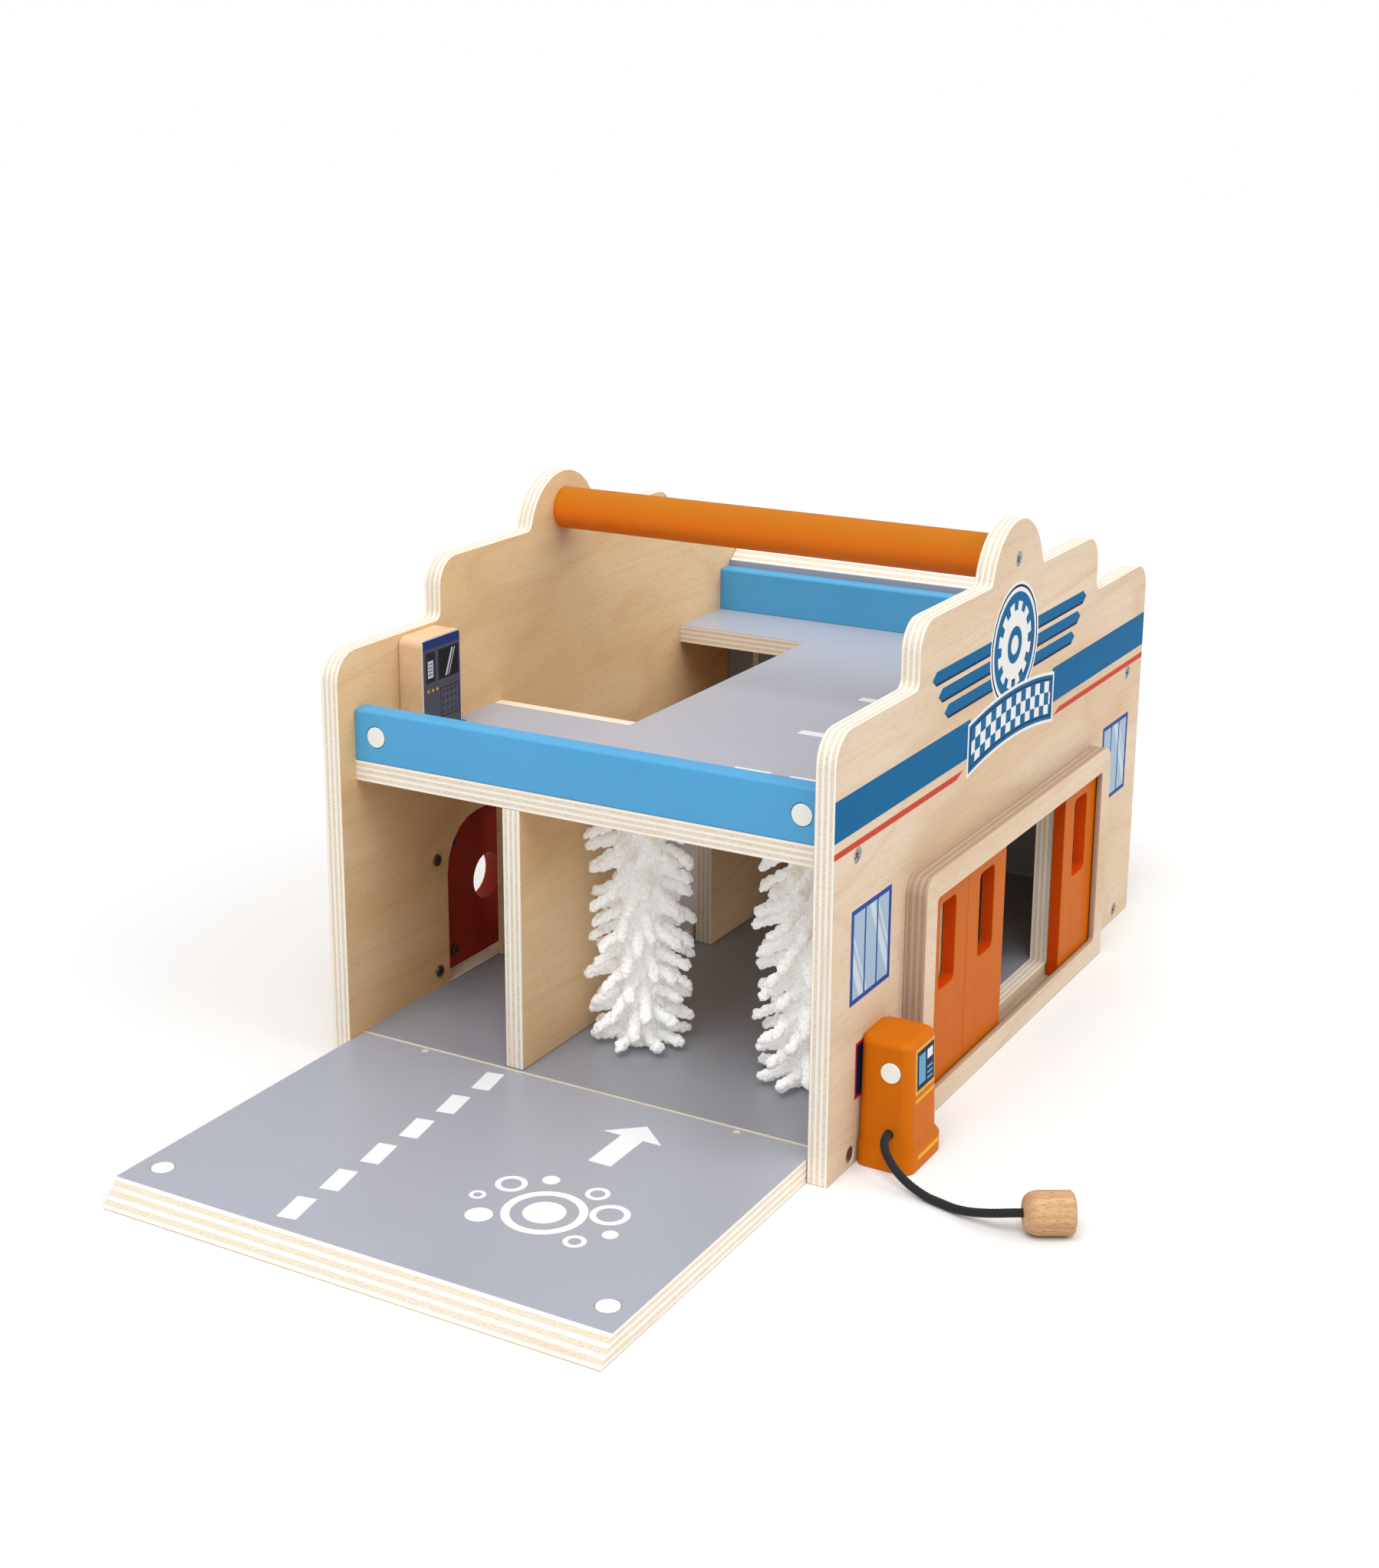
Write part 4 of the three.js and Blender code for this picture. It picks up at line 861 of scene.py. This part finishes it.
terminal.print_on(terminal.x > terminal_face, [
    (slab(ty, tz, -139.4, -110, 145, 188.9), ticket_white),
    (slab(ty, tz, -138.9, -110.5, 145, 188.4), panel_grey),
    (slab(ty, tz, -138.9, -110.5, 184.2, 188.4), panel_navy),
    (slab(ty, tz, -127.4, -111.4, 168.4, 182.6), panel_dark),
    (screen, screen_black),
    (screen & (abs(sheen + 192.6) < 0.7), ticket_white),
    (screen & (abs(sheen + 190.6) < 0.3), ticket_white),
    (slab(ty, tz, -137, -129.6, 168.4, 182.6), panel_dark),
    (slab(ty, tz, -135.4, -131.2, 170.6, 178.6), ticket_white),
    (slab(ty, tz, -134.8, -131.8, 172, 177.6) & ((tz - 172) % 1.6 < 0.5), panel_grey),
    (slab(ty, tz, -137, -126.8, 163, 166.2) & coins, coin_yellow),
    (slab(ty, tz, -126.2, -111.6, 150.4, 164.4), panel_dark),
    (slab(ty, tz, -125.7, -112.1, 150.9, 163.9), panel_grey),
    (slab(ty, tz, -125.6, -112.8, 151, 163.8) & keys, panel_dark),
])
terminal.bump(terminal_rays, distance=0.0001, strength=0.4)
dressed("payment_terminal", "ticket_machine", "garage", terminal, edge=0.7)
foot = painted("dark_foot", srgb(58, 57, 66), srgb(48, 47, 56))
dressed("terminal_base", "ticket_machine_foot", "garage", foot, edge=0.5)

# Fuel pump
# A sanded orange block with rounded corners, glued on the right wall, with a flared foot, a
# white disc and a printed display.
pump_paint = painted("orange_pump_paint", srgb(226, 122, 14), srgb(218, 112, 8), along="z")
py, pz = pump_paint.y, pump_paint.z
pump_yellow, display_blue = srgb(248, 186, 44), srgb(110, 176, 214)
pump_face = 147.6
pump_paint.print_on(pump_paint.x > pump_face, [
    (slab(py, pz, -151.2, -131, 32.4, 52.4), pump_yellow),
    (slab(py, pz, -149.8, -132.4, 33.8, 51), navy),
    (slab(py, pz, -148, -141.4, 36, 48.8), display_blue),
    (slab(py, pz, -139.6, -134.2, 44.6, 48.8), print_white),
    (slab(py, pz, -139.6, -134.2, 35.6, 42.8) & ((pz - 35.6) % 2.4 < 1), display_blue),
    (slab(py, pz, -151.2, -131, 28.8, 30.4), pump_yellow),
    (slab(py, pz, -151.2, -130, 4.4, 6.4), pump_yellow),
])
dressed("pump_body", "fuel_pump", "garage", pump_paint, edge=0, smooth=50, glued=(-1, 0, 0))
dressed("pump_disc", "pump_white_disc", "garage", cap, edge=0.2)

# Screws
# Countersunk steel screws with a cross recess hold the boards and the handle. Four small ones,
# driven from inside, hold the door's hinges.
recess_reach, recess_width, recess_depth, screw_face = 2.1, 0.75, 1.3, 124.6
least_turn, most_turn = 0.2, 1.3


def cross_cutter(face_x, place_y, place_z, scale=1):
    """A cross with its arms in the y-z plane, centred on a screw's face."""
    bars = []
    for across, up in ((recess_reach, recess_width / 2), (recess_width / 2, recess_reach)):
        bpy.ops.object.select_all(action="DESELECT")
        bpy.ops.mesh.primitive_cube_add(size=2)
        bar = bpy.context.object
        bar.scale = Vector((recess_depth, across, up)) * scale * MM
        bpy.ops.object.transform_apply(location=False, rotation=False, scale=True)
        bars.append(bar)
    apply(bars[0], "BOOLEAN", object=bars[1], operation="UNION", solver="EXACT")
    bpy.data.objects.remove(bars[1])
    bars[0].location = Vector((face_x, place_y, place_z)) * MM
    bars[0].rotation_euler.x = draws.uniform(least_turn, most_turn)
    bpy.context.view_layer.update()
    return bars[0]


for hand, side in (("left", -1), ("right", 1)):
    for node in (
        "screw_floor_front", "screw_floor_rear", "screw_deck_front", "screw_deck_rear", "handle_screw",
    ):
        low, high = (Vector(corner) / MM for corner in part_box(f"{node}_{hand}"))
        cutter = cross_cutter(side * screw_face, (low.y + high.y) / 2, (low.z + high.z) / 2)
        dressed(f"{node}_{hand}", f"{node}_head_{hand}", "garage", steel, edge=0, carve=cutter)
        bpy.data.objects.remove(cutter)

head_radius, head_height, head_sides, head_rounding, small_recess = 2.9, 1.3, 28, 0.6, 0.72
# The small hinge screws get a darker copy of the steel: painted shade for the shadow they sit in.
hinge_shade_light, hinge_shade_dark = srgb(128, 118, 108, 1), srgb(84, 76, 70, 1)
shaded_steel = Finish("hinge_screw_shaded_steel", Metallic=1, Roughness=0.38)
shaded_steel.set(Base_Color=shaded_steel.mix(shaded_steel.noise(turning_marks), hinge_shade_light, hinge_shade_dark))
for place, place_z in (("lower", 19.3), ("upper", 75.4)):
    for carrier, body, face_x, place_y in (
        ("wall", "garage", -116, -114.8), ("door", "arched_door", -125.3, -89),
    ):
        bpy.ops.object.select_all(action="DESELECT")
        bpy.ops.mesh.primitive_cylinder_add(
            vertices=head_sides, radius=head_radius * MM, depth=head_height * MM, rotation=(0, pi / 2, 0),
            location=Vector((face_x + head_height / 2, place_y, place_z)) * MM)
        head = bpy.context.object
        bpy.ops.object.transform_apply(location=True, rotation=True, scale=False)
        head.name = f"{place}_hinge_{carrier}_screw"
        apply(
            head, "BEVEL", width=head_rounding * MM, segments=3,
            limit_method="ANGLE", angle_limit=radians(60))
        cutter = cross_cutter(face_x + head_height, place_y, place_z, small_recess)
        apply(head, "BOOLEAN", object=cutter, operation="DIFFERENCE", solver="EXACT")
        bpy.data.objects.remove(cutter)
        bpy.ops.object.shade_smooth_by_angle(angle=radians(32))
        head.data.materials.append(shaded_steel.material)
        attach(head, body)
